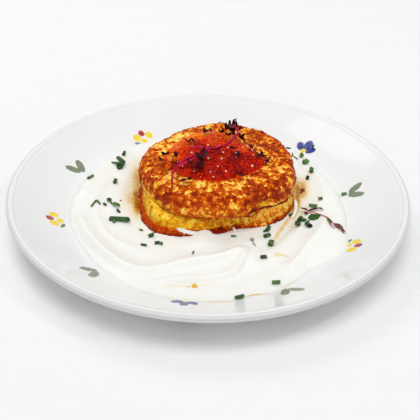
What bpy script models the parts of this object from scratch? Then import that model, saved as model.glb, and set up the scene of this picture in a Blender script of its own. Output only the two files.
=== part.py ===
"""Two potato pancakes on a swirled bed of sour cream, topped with roe and red cress, on a coupe plate.

Metres, +Z up. The origin is the centre of the plate's foot, on the surface it stands on, and -Y is the
serving side. Every size below is in millimetres and becomes metres in one place, MM.
"""

from math import acos, atan, atan2, cos, exp, hypot, pi, radians, sin, sqrt

import bmesh
import bpy

MM = 0.001
GAP = 0.3                       # clearance between neighbours that touch

# Plate: a coupe, turned about the Z axis.
LIP_RADIUS = 2.8
RIM_RADIUS = 140.0
PLATE_HEIGHT = 30.0
WELL_RADIUS = 75.0              # the flat middle ends here and the wall starts to rise
WELL_Z = 5.5
WALL_POWER = 1.6                # how slowly the wall starts to rise
WALL_THICKNESS = 4.2
WALL_RINGS = 7
LIP_INNER_ANGLE = radians(125)  # where the wall runs into the round lip, inside and outside
LIP_OUTER_ANGLE = radians(-58)
LIP_STEPS = 5
FOOT_OUTER_RADIUS = 82.0
FOOT_INNER_RADIUS = 76.0
FOOT_BEVEL = 0.7
RECESS_Z = 1.5                  # underside inside the foot ring
PLATE_STEPS = 64

# Pancakes: ovals with lobes. A lobe is (direction in degrees, spread in degrees, size).
LOWER_CENTRE = (4.5, 22.0)
LOWER_HALF = (55.0, 54.0)
LOWER_LOBES = ((-130, 26, 8.0), (-97, 14, 2.5), (-73, 22, -5.5), (-24, 30, 3.5))
LOWER_Z = (7.3, 21.7)
LOWER_EDGE = 5.0
TORN_INSET = 5.5                # the torn side stands back from the bottom crust
TORN_DIRECTION = -115.0
TORN_SPREAD = 75.0
UPPER_CENTRE = (5.5, 25.0)
UPPER_HALF = (56.0, 54.0)
UPPER_LOBES = (
    (-120, 22, 3.5), (-78, 14, 2.5), (-20, 18, 1.8), (55, 30, 3.0), (95, 20, 1.5), (140, 24, -3.5),
)
UPPER_Z = (22.0, 39.0)
UPPER_EDGE = 8.0
UPPER_DROOP = 1.6               # the side is widest low down
UPPER_DOME = 2.0                # the middle of the top stands this much above its shoulder
SIDE_SQUARENESS = 0.7           # under 1 makes a side steeper than a half circle
CAKE_STEPS = 40
CAKE_RINGS = 14

# Sour cream: a spooned bed from the pancake out to an uneven outline about the plate's centre.
CREAM_RADIUS = 97.5
CREAM_LOBES = (
    (-152, 14, -1.5), (-93, 30, 9.0), (-67, 8, 3.0), (-45, 9, -3.0), (-29, 11, 7.5), (50, 16, 5.0),
    (125, 32, 4.5),
)
CREAM_FLOOR = 1.2               # left under the pancake
CREAM_INNER = 3.2               # thickness beside the pancake, at the crown and at the outer edge
CREAM_CROWN = 8.0
CREAM_EDGE = 5.0
CREAM_CROWN_AT = 0.55           # share of the way from the pancake to the outline
CREAM_SIDE_GAP = 0.6
CREAM_STEPS = 72
CREAM_RINGS = 28
FLOOR_RINGS = 2
UNDER_RINGS = 5

# Spoon ridges in the cream: the crest's path, its height, and the reach of its inner and outer side.
RIDGES = (
    (((-74, 36), (-79, 4), (-73, -26), (-59, -44), (-31, -55), (-3, -50), (19, -40)), 2.2, 16.0, 5.0),
    (((-85, -51), (-69, -67), (-39, -76), (-11, -68), (11, -56), (25, -46)), 4.5, 20.0, 13.0),
    (((-25, -92), (-2, -86), (17, -74), (26, -58), (25, -46)), 3.0, 14.0, 11.0),
    (((57, -63), (67, -45), (80, -21), (86, 6)), 2.0, 12.0, 14.0),
)
RIDGE_TAPER = 0.16              # share of a ridge's length over which each end fades in

# Roe: a low mound on the upper pancake.
ROE_CENTRE = (4.0, 25.0)
ROE_HALF = (34.0, 35.0)
ROE_LOBES = (
    (-115, 24, 3.0), (-60, 18, -1.5), (-25, 18, 4.5), (12, 14, -5.0), (35, 14, -8.0), (140, 16, -2.5),
)
ROE_EDGE = 2.0
ROE_CROWN = 6.0
ROE_STEPS = 32
ROE_RINGS = 10

# Red cress: a loose bundle that lies across the roe and stands up at its back.
CRESS_CENTRE = (2.0, 20.0)
CRESS_HALF = (27.0, 19.0)
CRESS_LOBES = (
    (-165, 20, 4.0), (-128, 16, 7.0), (-45, 16, 7.0), (4, 14, 8.0), (62, 20, 18.0), (150, 18, -3.0),
)
CRESS_THICKNESS = 2.6
CRESS_TUFT = (17.5, 50.0)       # centre of the leaves that stand up
CRESS_TUFT_SPREAD = 8.0
CRESS_TOP = 58.0
CRESS_STEPS = 48
CRESS_RINGS = 10

# Colour, roughness and metallic value of each material.
FINISHES = {
    "plate": ((0.80, 0.80, 0.79), 0.12, 0.0),
    "sour_cream": ((0.87, 0.86, 0.81), 0.35, 0.0),
    "pancake_lower": ((0.62, 0.30, 0.05), 0.55, 0.0),
    "pancake_upper": ((0.50, 0.17, 0.03), 0.50, 0.0),
    "roe": ((0.65, 0.08, 0.02), 0.12, 0.0),
    "red_cress": ((0.16, 0.02, 0.06), 0.45, 0.0),
}


def clear_scene():
    """Start from an empty file."""
    for leftover in list(bpy.data.objects):
        bpy.data.objects.remove(leftover, do_unlink=True)


def smooth(share):
    """Ease from 0 to 1, flat at both ends."""
    held = min(1.0, max(0.0, share))
    return held * held * (3.0 - 2.0 * held)


def bell(degrees_apart, spread):
    """1 in a direction and fading to each side of it, the short way round."""
    apart = (degrees_apart + 180.0) % 360.0 - 180.0
    return exp(-((apart / spread) ** 2))


def lobed_radius(turn, half, lobes):
    """Distance from the centre to the edge of an oval with lobes, in the direction turn."""
    half_x, half_y = half
    oval = half_x * half_y / hypot(half_y * cos(turn), half_x * sin(turn))
    return oval + sum(size * bell(turn * 180.0 / pi - at, spread) for at, spread, size in lobes)


def new_material(name):
    """A Principled material from the finishes above."""
    colour, roughness, metallic = FINISHES[name]
    material = bpy.data.materials.new(name)
    material.use_nodes = True
    shader = material.node_tree.nodes["Principled BSDF"]
    shader.inputs["Base Color"].default_value = (*colour, 1.0)
    shader.inputs["Roughness"].default_value = roughness
    shader.inputs["Metallic"].default_value = metallic
    return material


def add_object(name, mesh, collection):
    """Link a mesh as a smooth-shaded object with its own material."""
    made = bpy.data.objects.new(name, mesh)
    made.data.materials.append(new_material(name))
    made.data.shade_smooth()
    collection.objects.link(made)
    return made


def shaped_ball(name, steps, rings, place, collection):
    """A closed body from a ball. place(turn, ring) says where each of its points goes, in millimetres."""
    ball = bmesh.new()
    bmesh.ops.create_uvsphere(ball, u_segments=steps, v_segments=rings, radius=1.0)
    for point in ball.verts:
        turn = atan2(point.co.y, point.co.x)
        ring = round(acos(max(-1.0, min(1.0, point.co.z))) / pi * rings)
        point.co = [value * MM for value in place(turn, ring)]
    mesh = bpy.data.meshes.new(name)
    ball.to_mesh(mesh)
    ball.free()
    return add_object(name, mesh, collection)


# ---------------------------------------------------------------- plate

LIP_CENTRE = (RIM_RADIUS - LIP_RADIUS, PLATE_HEIGHT - LIP_RADIUS)
WALL_END_RADIUS = LIP_CENTRE[0] + LIP_RADIUS * cos(LIP_INNER_ANGLE)
WALL_END_Z = LIP_CENTRE[1] + LIP_RADIUS * sin(LIP_INNER_ANGLE)


def plate_z(radius):
    """Height of the plate's inner surface."""
    share = max(0.0, radius - WELL_RADIUS) / (WALL_END_RADIUS - WELL_RADIUS)
    return WELL_Z + (WALL_END_Z - WELL_Z) * share ** WALL_POWER


def under_wall(radius):
    """The point of the plate's outer side that lies one wall thickness under its inner side."""
    share = (radius - WELL_RADIUS) / (WALL_END_RADIUS - WELL_RADIUS)
    rise = WALL_POWER * (WALL_END_Z - WELL_Z) / (WALL_END_RADIUS - WELL_RADIUS)
    slope = atan(rise * share ** (WALL_POWER - 1.0))
    return radius + WALL_THICKNESS * sin(slope), plate_z(radius) - WALL_THICKNESS * cos(slope)


def plate_profile():
    """From the middle of the well out over the lip and down the outer side to the middle underneath."""
    wall_run = WALL_END_RADIUS - WELL_RADIUS
    wall_radii = [WELL_RADIUS + wall_run * step / WALL_RINGS for step in range(WALL_RINGS)]
    inner = [(0.0, WELL_Z)] + [(radius, plate_z(radius)) for radius in wall_radii]
    lip_turn = LIP_OUTER_ANGLE - LIP_INNER_ANGLE
    lip_angles = [LIP_INNER_ANGLE + lip_turn * step / LIP_STEPS for step in range(LIP_STEPS + 1)]
    lip = [(LIP_CENTRE[0] + LIP_RADIUS * cos(angle), LIP_CENTRE[1] + LIP_RADIUS * sin(angle))
           for angle in lip_angles]
    outer = [under_wall(radius) for radius in reversed(wall_radii[1:])]
    foot = [
        (FOOT_OUTER_RADIUS, FOOT_BEVEL),
        (FOOT_OUTER_RADIUS - FOOT_BEVEL, 0.0),
        (FOOT_INNER_RADIUS + FOOT_BEVEL, 0.0),
        (FOOT_INNER_RADIUS, FOOT_BEVEL),
        (FOOT_INNER_RADIUS - FOOT_BEVEL, RECESS_Z),
        (0.0, RECESS_Z),
    ]
    return inner + lip + outer + foot


def build_plate(collection):
    """Turn the profile with a Screw modifier."""
    profile = plate_profile()
    mesh = bpy.data.meshes.new("plate")
    edges = [(index, index + 1) for index in range(len(profile) - 1)]
    mesh.from_pydata([(radius * MM, 0.0, height * MM) for radius, height in profile], edges, [])
    plate = add_object("plate", mesh, collection)
    screw = plate.modifiers.new("turn", "SCREW")
    screw.steps = PLATE_STEPS
    screw.render_steps = PLATE_STEPS
    screw.use_merge_vertices = True
    screw.merge_threshold = 0.00001
    screw.use_smooth_shade = True
    return plate


# ---------------------------------------------------------------- pancakes


def cake_section(ring, edge, height, droop=1.0):
    """How a cake's section runs from its top centre to its bottom centre.

    Gives the share of the flat face's radius, the reach into the round edge and the height over the bottom.
    A droop over 1 makes the side widest low down.
    """
    face_rings = CAKE_RINGS // 3
    if ring <= face_rings:
        return ring / face_rings, 0.0, height
    if ring >= CAKE_RINGS - face_rings:
        return (CAKE_RINGS - ring) / face_rings, 0.0, 0.0
    angle = pi * (ring - face_rings) / (CAKE_RINGS - 2 * face_rings)
    return 1.0, edge * sin(angle) ** SIDE_SQUARENESS, height * ((1.0 + cos(angle)) / 2.0) ** droop


def lower_radius(turn, share_up):
    """Reach of the lower pancake: its torn side stands back above the bottom crust."""
    torn = bell(turn * 180.0 / pi - TORN_DIRECTION, TORN_SPREAD) * smooth((share_up - 0.25) / 0.3)
    return lobed_radius(turn, LOWER_HALF, LOWER_LOBES) - TORN_INSET * torn


def lower_point(turn, ring):
    """A point of the lower pancake's skin."""
    bottom, top = LOWER_Z
    face, reach, up = cake_section(ring, LOWER_EDGE, top - bottom)
    radius = (lower_radius(turn, up / (top - bottom)) - LOWER_EDGE) * face + reach
    return LOWER_CENTRE[0] + radius * cos(turn), LOWER_CENTRE[1] + radius * sin(turn), bottom + up


def upper_top_z(x, y):
    """Height of the upper pancake's domed top."""
    away = hypot((x - UPPER_CENTRE[0]) / UPPER_HALF[0], (y - UPPER_CENTRE[1]) / UPPER_HALF[1])
    return UPPER_Z[1] - UPPER_DOME * away ** 2


def upper_point(turn, ring):
    """A point of the upper pancake's skin."""
    bottom, top = UPPER_Z
    shoulder = top - UPPER_DOME * (1.0 - UPPER_EDGE / UPPER_HALF[1]) ** 2
    face, reach, up = cake_section(ring, UPPER_EDGE, shoulder - bottom, UPPER_DROOP)
    radius = (lobed_radius(turn, UPPER_HALF, UPPER_LOBES) - UPPER_EDGE) * face + reach
    x = UPPER_CENTRE[0] + radius * cos(turn)
    y = UPPER_CENTRE[1] + radius * sin(turn)
    on_top_face = reach == 0.0 and up > 0.0
    return x, y, upper_top_z(x, y) if on_top_face else bottom + up


# ---------------------------------------------------------------- sour cream


def smooth_path(points, per_span=8):
    """Points along a Catmull-Rom curve through the given ones."""
    ends = [points[0], *points, points[-1]]
    path = []
    for index in range(1, len(ends) - 2):
        before, start, stop, after = ends[index - 1:index + 3]
        for step in range(per_span):
            t = step / per_span
            path.append(tuple(
                0.5 * (2 * b + (c - a) * t + (2 * a - 5 * b + 4 * c - d) * t ** 2
                       + (3 * b - a - 3 * c + d) * t ** 3)
                for a, b, c, d in zip(before, start, stop, after)))
    return path + [points[-1]]


RIDGE_PATHS = [(smooth_path(points), height, inner, outer) for points, height, inner, outer in RIDGES]


def ridge_height(x, y, path, height, inner, outer):
    """What one spoon ridge adds: hollow on the inner side of its crest, steep on the outer side."""
    nearest = min(range(len(path) - 1), key=lambda index: hypot(x - path[index][0], y - path[index][1]))
    (start_x, start_y), (stop_x, stop_y) = path[nearest], path[nearest + 1]
    side = (stop_x - start_x) * (y - start_y) - (stop_y - start_y) * (x - start_x)
    distance = hypot(x - start_x, y - start_y)
    along = nearest / (len(path) - 1)
    taper = smooth(along / RIDGE_TAPER) * smooth((1.0 - along) / RIDGE_TAPER)
    if side > 0.0:
        return height * taper * max(0.0, 1.0 - distance / inner) ** 2
    return height * taper * (1.0 - smooth(distance / outer))


def well_edge(turn):
    """Edge of the hollow that the lower pancake sits in."""
    radius = lobed_radius(turn, LOWER_HALF, LOWER_LOBES) + CREAM_SIDE_GAP
    return LOWER_CENTRE[0] + radius * cos(turn), LOWER_CENTRE[1] + radius * sin(turn)


def cream_edge(turn):
    """Outer edge of the cream, seen from above."""
    radius = lobed_radius(turn, (CREAM_RADIUS, CREAM_RADIUS), CREAM_LOBES)
    return radius * cos(turn), radius * sin(turn)


def cream_across(turn, share):
    """A point between the pancake and the cream's outer edge, seen from above."""
    inner, outer = well_edge(turn), cream_edge(turn)
    return tuple(a + (b - a) * share for a, b in zip(inner, outer))


def cream_top_z(x, y, share):
    """Height of the cream's top: its bed and the spoon ridges on it."""
    rising = CREAM_INNER + (CREAM_CROWN - CREAM_INNER) * smooth(share / CREAM_CROWN_AT)
    falling = (CREAM_CROWN - CREAM_EDGE) * smooth((share - CREAM_CROWN_AT) / (1.0 - CREAM_CROWN_AT))
    ridges = sum(ridge_height(x, y, *ridge) for ridge in RIDGE_PATHS)
    fade = smooth(share / 0.15) * smooth((1.05 - share) / 0.2)
    return plate_z(hypot(x, y)) + rising - falling + ridges * fade


def cream_point(turn, ring):
    """A point of the cream's skin, from the middle of the well out to its edge and back underneath."""
    top_rings = CREAM_RINGS - FLOOR_RINGS - UNDER_RINGS
    if ring <= FLOOR_RINGS:
        edge_x, edge_y = well_edge(turn)
        share = ring / FLOOR_RINGS
        x = LOWER_CENTRE[0] + (edge_x - LOWER_CENTRE[0]) * share
        y = LOWER_CENTRE[1] + (edge_y - LOWER_CENTRE[1]) * share
        return x, y, LOWER_Z[0] - GAP
    if ring <= CREAM_RINGS - UNDER_RINGS:
        share = (ring - FLOOR_RINGS) / top_rings
        x, y = cream_across(turn, share)
        if ring == CREAM_RINGS - UNDER_RINGS:
            return x, y, plate_z(hypot(x, y)) + GAP + CREAM_EDGE / 2.0
        return x, y, cream_top_z(x, y, share)
    share = (CREAM_RINGS - ring) / UNDER_RINGS
    x, y = cream_across(turn, 0.97)
    return x * share, y * share, plate_z(hypot(x, y) * share) + GAP


# ---------------------------------------------------------------- roe and cress


def roe_top_z(x, y):
    """Height of the mound of roe."""
    away_x, away_y = x - ROE_CENTRE[0], y - ROE_CENTRE[1]
    share = hypot(away_x, away_y) / lobed_radius(atan2(away_y, away_x), ROE_HALF, ROE_LOBES)
    depth = ROE_EDGE + (ROE_CROWN - ROE_EDGE) * sqrt(max(0.0, 1.0 - min(1.0, share) ** 2))
    return upper_top_z(x, y) + GAP + depth


def lens_point(turn, ring, rings, centre, reach, under_z, top_z):
    """A point of a flat heap: a top and an underside that meet in a sharp outline."""
    half = rings // 2
    share = ring / half if ring <= half else (rings - ring) / half
    x = centre[0] + reach(turn) * share * cos(turn)
    y = centre[1] + reach(turn) * share * sin(turn)
    if ring < half:
        return x, y, top_z(x, y)
    if ring > half:
        return x, y, under_z(x, y)
    return x, y, (under_z(x, y) + min(top_z(x, y), under_z(x, y) + ROE_EDGE)) / 2.0


def roe_point(turn, ring):
    """A point of the roe's skin."""
    return lens_point(turn, ring, ROE_RINGS, ROE_CENTRE,
                      lambda angle: lobed_radius(angle, ROE_HALF, ROE_LOBES),
                      lambda x, y: upper_top_z(x, y) + GAP, roe_top_z)


def cress_under_z(x, y):
    """Underside of the cress: just over the roe."""
    return roe_top_z(x, y) + 2.0 * GAP


def cress_top_z(x, y):
    """Top of the cress, with the leaves that stand up at its back."""
    tuft = exp(-((hypot(x - CRESS_TUFT[0], y - CRESS_TUFT[1]) / CRESS_TUFT_SPREAD) ** 2))
    low = cress_under_z(x, y) + CRESS_THICKNESS
    return low + (CRESS_TOP - low) * tuft


def cress_point(turn, ring):
    """A point of the cress bundle's skin."""
    return lens_point(turn, ring, CRESS_RINGS, CRESS_CENTRE,
                      lambda angle: lobed_radius(angle, CRESS_HALF, CRESS_LOBES),
                      cress_under_z, cress_top_z)


def build():
    """Make every piece, from the plate up."""
    clear_scene()
    dish = bpy.data.collections.new("potato_pancakes")
    bpy.context.scene.collection.children.link(dish)
    build_plate(dish)
    shaped_ball("sour_cream", CREAM_STEPS, CREAM_RINGS, cream_point, dish)
    shaped_ball("pancake_lower", CAKE_STEPS, CAKE_RINGS, lower_point, dish)
    shaped_ball("pancake_upper", CAKE_STEPS, CAKE_RINGS, upper_point, dish)
    shaped_ball("roe", ROE_STEPS, ROE_RINGS, roe_point, dish)
    shaped_ball("red_cress", CRESS_STEPS, CRESS_RINGS, cress_point, dish)


build()
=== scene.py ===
"""Potato pancakes on sour cream with roe and red cress, served on a painted coupe plate.

Everything is in metres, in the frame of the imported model: the plate stands on z = 0 around the Z axis and
-Y is the serving side. Sizes written as a number times MM are millimetres.
"""

import math
from math import cos, pi, radians, sin

import bmesh
import bpy
import numpy as np
from mathutils import Matrix, Quaternion, Vector
from mathutils.bvhtree import BVHTree


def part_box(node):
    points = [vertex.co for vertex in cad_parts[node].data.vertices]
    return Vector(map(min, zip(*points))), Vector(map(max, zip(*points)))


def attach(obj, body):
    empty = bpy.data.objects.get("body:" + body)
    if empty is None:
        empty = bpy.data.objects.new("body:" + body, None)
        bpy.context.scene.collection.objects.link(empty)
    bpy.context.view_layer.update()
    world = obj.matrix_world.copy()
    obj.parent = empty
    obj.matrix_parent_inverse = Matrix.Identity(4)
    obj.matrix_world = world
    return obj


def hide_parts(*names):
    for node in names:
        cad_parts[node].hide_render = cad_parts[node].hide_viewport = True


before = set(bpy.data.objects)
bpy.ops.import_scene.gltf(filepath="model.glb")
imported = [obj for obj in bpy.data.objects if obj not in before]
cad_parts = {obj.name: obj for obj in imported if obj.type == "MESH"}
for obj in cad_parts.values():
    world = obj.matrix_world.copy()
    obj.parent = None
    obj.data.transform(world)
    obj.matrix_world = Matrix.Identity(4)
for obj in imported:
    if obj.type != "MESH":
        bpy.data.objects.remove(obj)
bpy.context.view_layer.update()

MM = 0.001


def box_sizes(node):
    """Half the width of a node's box, and its lowest and highest z."""
    low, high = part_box(node)
    return (high - low).x / 2.0, low.z, high.z


RIM_RADIUS, PLATE_LOW, PLATE_TOP = box_sizes("plate")
_, LOWER_LOW, LOWER_TOP = box_sizes("pancake_lower")
_, UPPER_LOW, UPPER_TOP = box_sizes("pancake_upper")
_, _, ROE_TOP = box_sizes("roe")
_, _, CRESS_TOP = box_sizes("red_cress")

# Plate.
LIP_RADIUS = 2.8 * MM
LIP_ANGLES = (125.0, -58.0)     # where the round of the lip starts inside and ends outside, in degrees
WELL_RADIUS = 75.0 * MM
WELL_RINGS = (0.0, 40.0, 68.0)  # rings across the flat well, in millimetres
WELL_Z = 5.5 * MM
WALL_POWER = 1.6                # over 1 makes the wall rise ever more steeply
WALL_THICKNESS = 4.2 * MM
# The glaze is also painted grey along these grooves as shade.
RIM_LINES = (66.0, 10.0)        # fine grooves round the lip, as places on its section in degrees
RIM_LINE_SPREAD = 7.0           # how wide they are, in degrees
RIM_LINE_DEPTH = 0.30 * MM
WALL_LINE = (1.5 * MM, 0.6 * MM, 0.20 * MM)     # a faint groove: how far in from the lip, half width, depth
FOOT_RADIUS = (82.0 * MM, 76.0 * MM)            # outside and inside of the foot ring
FOOT_FLAT = 0.8 * MM            # how far the flat that the plate stands on keeps from both sides of the ring
FOOT_ROUND = (0.25 * MM, 0.3 * MM)              # a point on the rounded corners: how far in and how high
RECESS_Z = 1.5 * MM
PLATE_SIDES = 256

# Pancakes, as ovals with lobes: (direction in degrees, spread in degrees, size).
LOWER_CENTRE = Vector((4.5, 22.0)) * MM
LOWER_OVAL = (55.0 * MM, 54.0 * MM)
LOWER_LOBES = ((-133, 24, 10.5), (-97, 14, 2.5), (-73, 22, -5.5), (-24, 30, 3.5))
UPPER_CENTRE = Vector((5.5, 25.0)) * MM
UPPER_OVAL = (56.0 * MM, 54.0 * MM)
UPPER_LOBES = (
    (-120, 22, 3.5), (-78, 14, 2.5), (-20, 18, 1.8), (55, 30, 3.0), (95, 20, 1.5), (140, 24, -3.5),
)
UPPER_DOME = 2.0 * MM

# Sour cream.
CREAM_RADIUS = 97.5 * MM
CREAM_LOBES = (
    (-152, 14, -1.5), (-93, 30, 9.0), (-81, 5, 2.0), (-74, 5, -4.0), (-67, 8, 3.0), (-45, 9, -3.0),
    (-29, 11, 7.5), (50, 16, 5.0), (125, 32, 4.5),
)


# ---------------------------------------------------------------- shared shaping

def smooth(share):
    """Ease from 0 to 1, flat at both ends."""
    held = np.clip(share, 0.0, 1.0)
    return held * held * (3.0 - 2.0 * held)


def hump(value, centre, spread):
    """1 at the centre and fading to each side of it."""
    return math.exp(-((value - centre) / spread) ** 2)


def bell(degrees, direction, spread):
    """1 in a direction and fading to each side of it, the short way round."""
    apart = (degrees - direction + 180.0) % 360.0 - 180.0
    return np.exp(-((apart / spread) ** 2))


def lobed_radius(turn, oval, lobes):
    """Distance from the centre to the edge of an oval with lobes, in the direction turn."""
    radius = oval[0] * oval[1] / np.hypot(oval[1] * np.cos(turn), oval[0] * np.sin(turn))
    for at, spread, size in lobes:
        radius = radius + size * MM * bell(np.degrees(turn), at, spread)
    return radius


def lattice_value(cells, seed):
    """A fixed random number from -1 to 1 for each lattice cell."""
    mixed = np.sin(cells @ np.array((127.1, 311.7, 74.7)) + seed * 19.19) * 43758.5453
    return 2.0 * (mixed - np.floor(mixed)) - 1.0


def soft_noise(points, size, seed=0):
    """Smooth noise from -1 to 1 whose lumps are about size across."""
    scaled = points / size
    cell = np.floor(scaled)
    part = smooth(scaled - cell)
    total = np.zeros(len(points))
    for corner in np.ndindex(2, 2, 2):
        weight = np.prod(np.where(corner, part, 1.0 - part), axis=1)
        total += weight * lattice_value(cell + np.array(corner), seed)
    return total


def rounded_noise(points, size, seed=0, octaves=3):
    """Soft noise with finer noise on it."""
    total = np.zeros(len(points))
    for octave in range(octaves):
        total += soft_noise(points, size / 2 ** octave, seed + octave) / 2 ** octave
    return total / 1.6


def skin_mesh(name, rings):
    """A closed mesh from rings of points, from a top pole to a bottom pole. rings is (rings, steps, 3)."""
    count, steps = rings.shape[:2]
    top, bottom = rings[0].mean(axis=0), rings[-1].mean(axis=0)
    points = np.concatenate((rings.reshape(-1, 3), top[None], bottom[None]))
    here = np.arange(steps)
    after = (here + 1) % steps
    quads = []
    for ring in range(count - 1):
        first, second = ring * steps, (ring + 1) * steps
        quads.append(np.stack((first + here, second + here, second + after, first + after), axis=1))
    last = (count - 1) * steps
    top_fan = [(count * steps, a, b) for a, b in zip(here, after)]
    bottom_fan = [(count * steps + 1, last + b, last + a) for a, b in zip(here, after)]
    faces = np.concatenate(quads).tolist() + top_fan + bottom_fan
    mesh = bpy.data.meshes.new(name)
    mesh.from_pydata(points.tolist(), [], faces)
    mesh.shade_smooth()
    return mesh


def store_mask(mesh, name, values):
    """Keep a value for each point of a mesh, for its material to read."""
    layer = mesh.attributes.new(name, "FLOAT", "POINT")
    layer.data.foreach_set("value", np.asarray(values, dtype=np.float32))


def store_rings(mesh, poles=(0.0, 0.0), **masks):
    """Keep values given ring by ring for a mesh that skin_mesh made, with those of its two poles."""
    for name, rows in masks.items():
        store_mask(mesh, name, np.concatenate((np.ravel(rows), poles)))


def mesh_points(mesh):
    """All points of a mesh as an array."""
    points = np.empty(len(mesh.vertices) * 3)
    mesh.vertices.foreach_get("co", points)
    return points.reshape(-1, 3)


def add_piece(name, mesh, material=None, replaces=None):
    """Put a finished mesh in the scene as a piece of the dish."""
    piece = bpy.data.objects.new(name, mesh)
    bpy.context.scene.collection.objects.link(piece)
    if material is not None:
        mesh.materials.clear()
        mesh.materials.append(material)
    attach(piece, "root")
    if replaces:
        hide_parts(replaces)
    return piece


def grow(grown, mesh, name, **values):
    """Run a mesh through a Geometry Nodes tree, given with its sockets, and return the finished mesh."""
    tree, sockets = grown
    worker = bpy.data.objects.new(name, mesh)
    bpy.context.scene.collection.objects.link(worker)
    modifier = worker.modifiers.new(name, "NODES")
    modifier.node_group = tree
    for key, value in values.items():
        modifier[sockets[key].identifier] = value
    ready = worker.evaluated_get(bpy.context.evaluated_depsgraph_get())
    finished = bpy.data.meshes.new_from_object(ready)
    worker.modifiers.remove(modifier)
    bpy.data.objects.remove(worker)
    finished.name = name
    return finished


# ---------------------------------------------------------------- node trees

class NodeWork:
    """Adds nodes to a tree and wires them up."""

    def __init__(self, tree):
        self.tree = tree

    def add(self, kind, inputs=None, **settings):
        """A node with its settings, and its inputs set to values or joined to other nodes' outputs."""
        node = self.tree.nodes.new(kind)
        for key, value in settings.items():
            setattr(node, key, value)
        for key, value in (inputs or {}).items():
            self.feed(node.inputs[key], value)
        return node

    def feed(self, socket, value):
        """Set a socket to a value, or join it to an output."""
        if isinstance(value, bpy.types.NodeSocket):
            self.tree.links.new(value, socket)
        else:
            socket.default_value = value

    def parts(self, vector):
        """The three parts of a vector."""
        return self.add("ShaderNodeSeparateXYZ", {0: vector}).outputs[:3]

    def vector(self, x, y, z):
        """A vector from its three parts."""
        return self.add("ShaderNodeCombineXYZ", {0: x, 1: y, 2: z}).outputs[0]

    def finish(self, geometry, material):
        """End a Geometry Nodes tree: real geometry, shaded smooth, with its material."""
        real = self.add("GeometryNodeRealizeInstances", {0: geometry}).outputs[0]
        shaded = self.add("GeometryNodeSetShadeSmooth", {"Geometry": real}).outputs[0]
        dressed = self.add("GeometryNodeSetMaterial", {"Geometry": shaded, "Material": material}).outputs[0]
        self.tree.links.new(dressed, self.add("NodeGroupOutput").inputs[0])

    def kept(self, name, kind="FLOAT"):
        """A value kept on the points of a Geometry Nodes mesh."""
        return self.add("GeometryNodeInputNamedAttribute", {"Name": name}, data_type=kind).outputs[0]

    def keep(self, geometry, name, value):
        """Keep a value on the points of a geometry for its material to read."""
        inputs = {"Geometry": geometry, "Name": name, "Value": value}
        return self.add("GeometryNodeStoreNamedAttribute", inputs, data_type="FLOAT").outputs[0]

    def random(self, low, high, seed):
        """A random number for each point."""
        inputs = {2: low, 3: high, "Seed": seed}
        return self.add("FunctionNodeRandomValue", inputs, data_type="FLOAT").outputs[1]

    def scaled(self, vector, factor):
        """A vector made longer or shorter."""
        return self.add("ShaderNodeVectorMath", {0: vector, "Scale": factor}, operation="SCALE").outputs[0]

    def math(self, operation, *values, clamp=False):
        """The output of a Math node."""
        kind = "ShaderNodeMath"
        return self.add(kind, dict(enumerate(values)), operation=operation, use_clamp=clamp).outputs[0]

    def ease(self, value, low, high):
        """Smoothly from 0 at low to 1 at high."""
        inputs = {"Value": value, "From Min": low, "From Max": high}
        return self.add("ShaderNodeMapRange", inputs, interpolation_type="SMOOTHSTEP").outputs["Result"]

    def noise(self, vector, scale, detail=3.0, roughness=0.5, distortion=0.0):
        """The output of a Noise Texture."""
        inputs = {"Vector": vector, "Scale": scale, "Detail": detail, "Roughness": roughness,
                  "Distortion": distortion}
        return self.add("ShaderNodeTexNoise", inputs).outputs[0]

    def mix(self, share, first, second, blend="MIX"):
        """The colour output of a Mix node."""
        node = self.add("ShaderNodeMix", data_type="RGBA", blend_type=blend)
        self.feed(node.inputs[0], share)
        self.feed(node.inputs[6], first)
        self.feed(node.inputs[7], second)
        return node.outputs[2]

    def ramp(self, share, stops):
        """The colour output of a Color Ramp with (position, colour) stops."""
        node = self.add("ShaderNodeValToRGB", {0: share})
        band = node.color_ramp
        while len(band.elements) < len(stops):
            band.elements.new(0.5)
        for element, (position, colour) in zip(band.elements, stops):
            element.position = position
            element.color = (*colour, 1.0)
        return node.outputs[0]


def new_tree(name, start, inputs, end):
    """A Geometry Nodes tree with its input sockets, the tool that adds nodes to it, and what it is given."""
    tree = bpy.data.node_groups.new(name, "GeometryNodeTree")
    face = tree.interface
    face.new_socket(start, in_out="INPUT", socket_type="NodeSocketGeometry")
    sockets = {key: face.new_socket(key, in_out="INPUT", socket_type="NodeSocket" + kind)
               for key, kind in inputs.items()}
    face.new_socket(end, in_out="OUTPUT", socket_type="NodeSocketGeometry")
    work = NodeWork(tree)
    return (tree, sockets), work, work.add("NodeGroupInput").outputs


def srgb(red, green, blue):
    """Scene colour from the 0 to 255 values that a screen shows."""
    def linear(value):
        share = value / 255.0
        return share / 12.92 if share <= 0.04045 else ((share + 0.055) / 1.055) ** 2.4
    return linear(red), linear(green), linear(blue)


def new_material(name, roughness, **values):
    """A material with a Principled shader, and the tool that adds nodes to it."""
    material = bpy.data.materials.new(name)
    material.use_nodes = True
    shader = material.node_tree.nodes["Principled BSDF"]
    shader.inputs["Roughness"].default_value = roughness
    for key, value in values.items():
        shader.inputs[key.replace("_", " ")].default_value = value
    return material, shader, NodeWork(material.node_tree)


def object_place(work):
    """Object coordinates."""
    return work.add("ShaderNodeTexCoord").outputs["Object"]


def mask(work, name):
    """A value kept on the mesh's points."""
    return work.add("ShaderNodeAttribute", attribute_name=name).outputs["Fac"]


def bump(work, shader, height, distance, strength=1.0):
    """Feed a height to the shader's normal."""
    node = work.add("ShaderNodeBump", {"Height": height, "Distance": distance, "Strength": strength})
    work.feed(shader.inputs["Normal"], node.outputs[0])


# ---------------------------------------------------------------- plate

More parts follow.
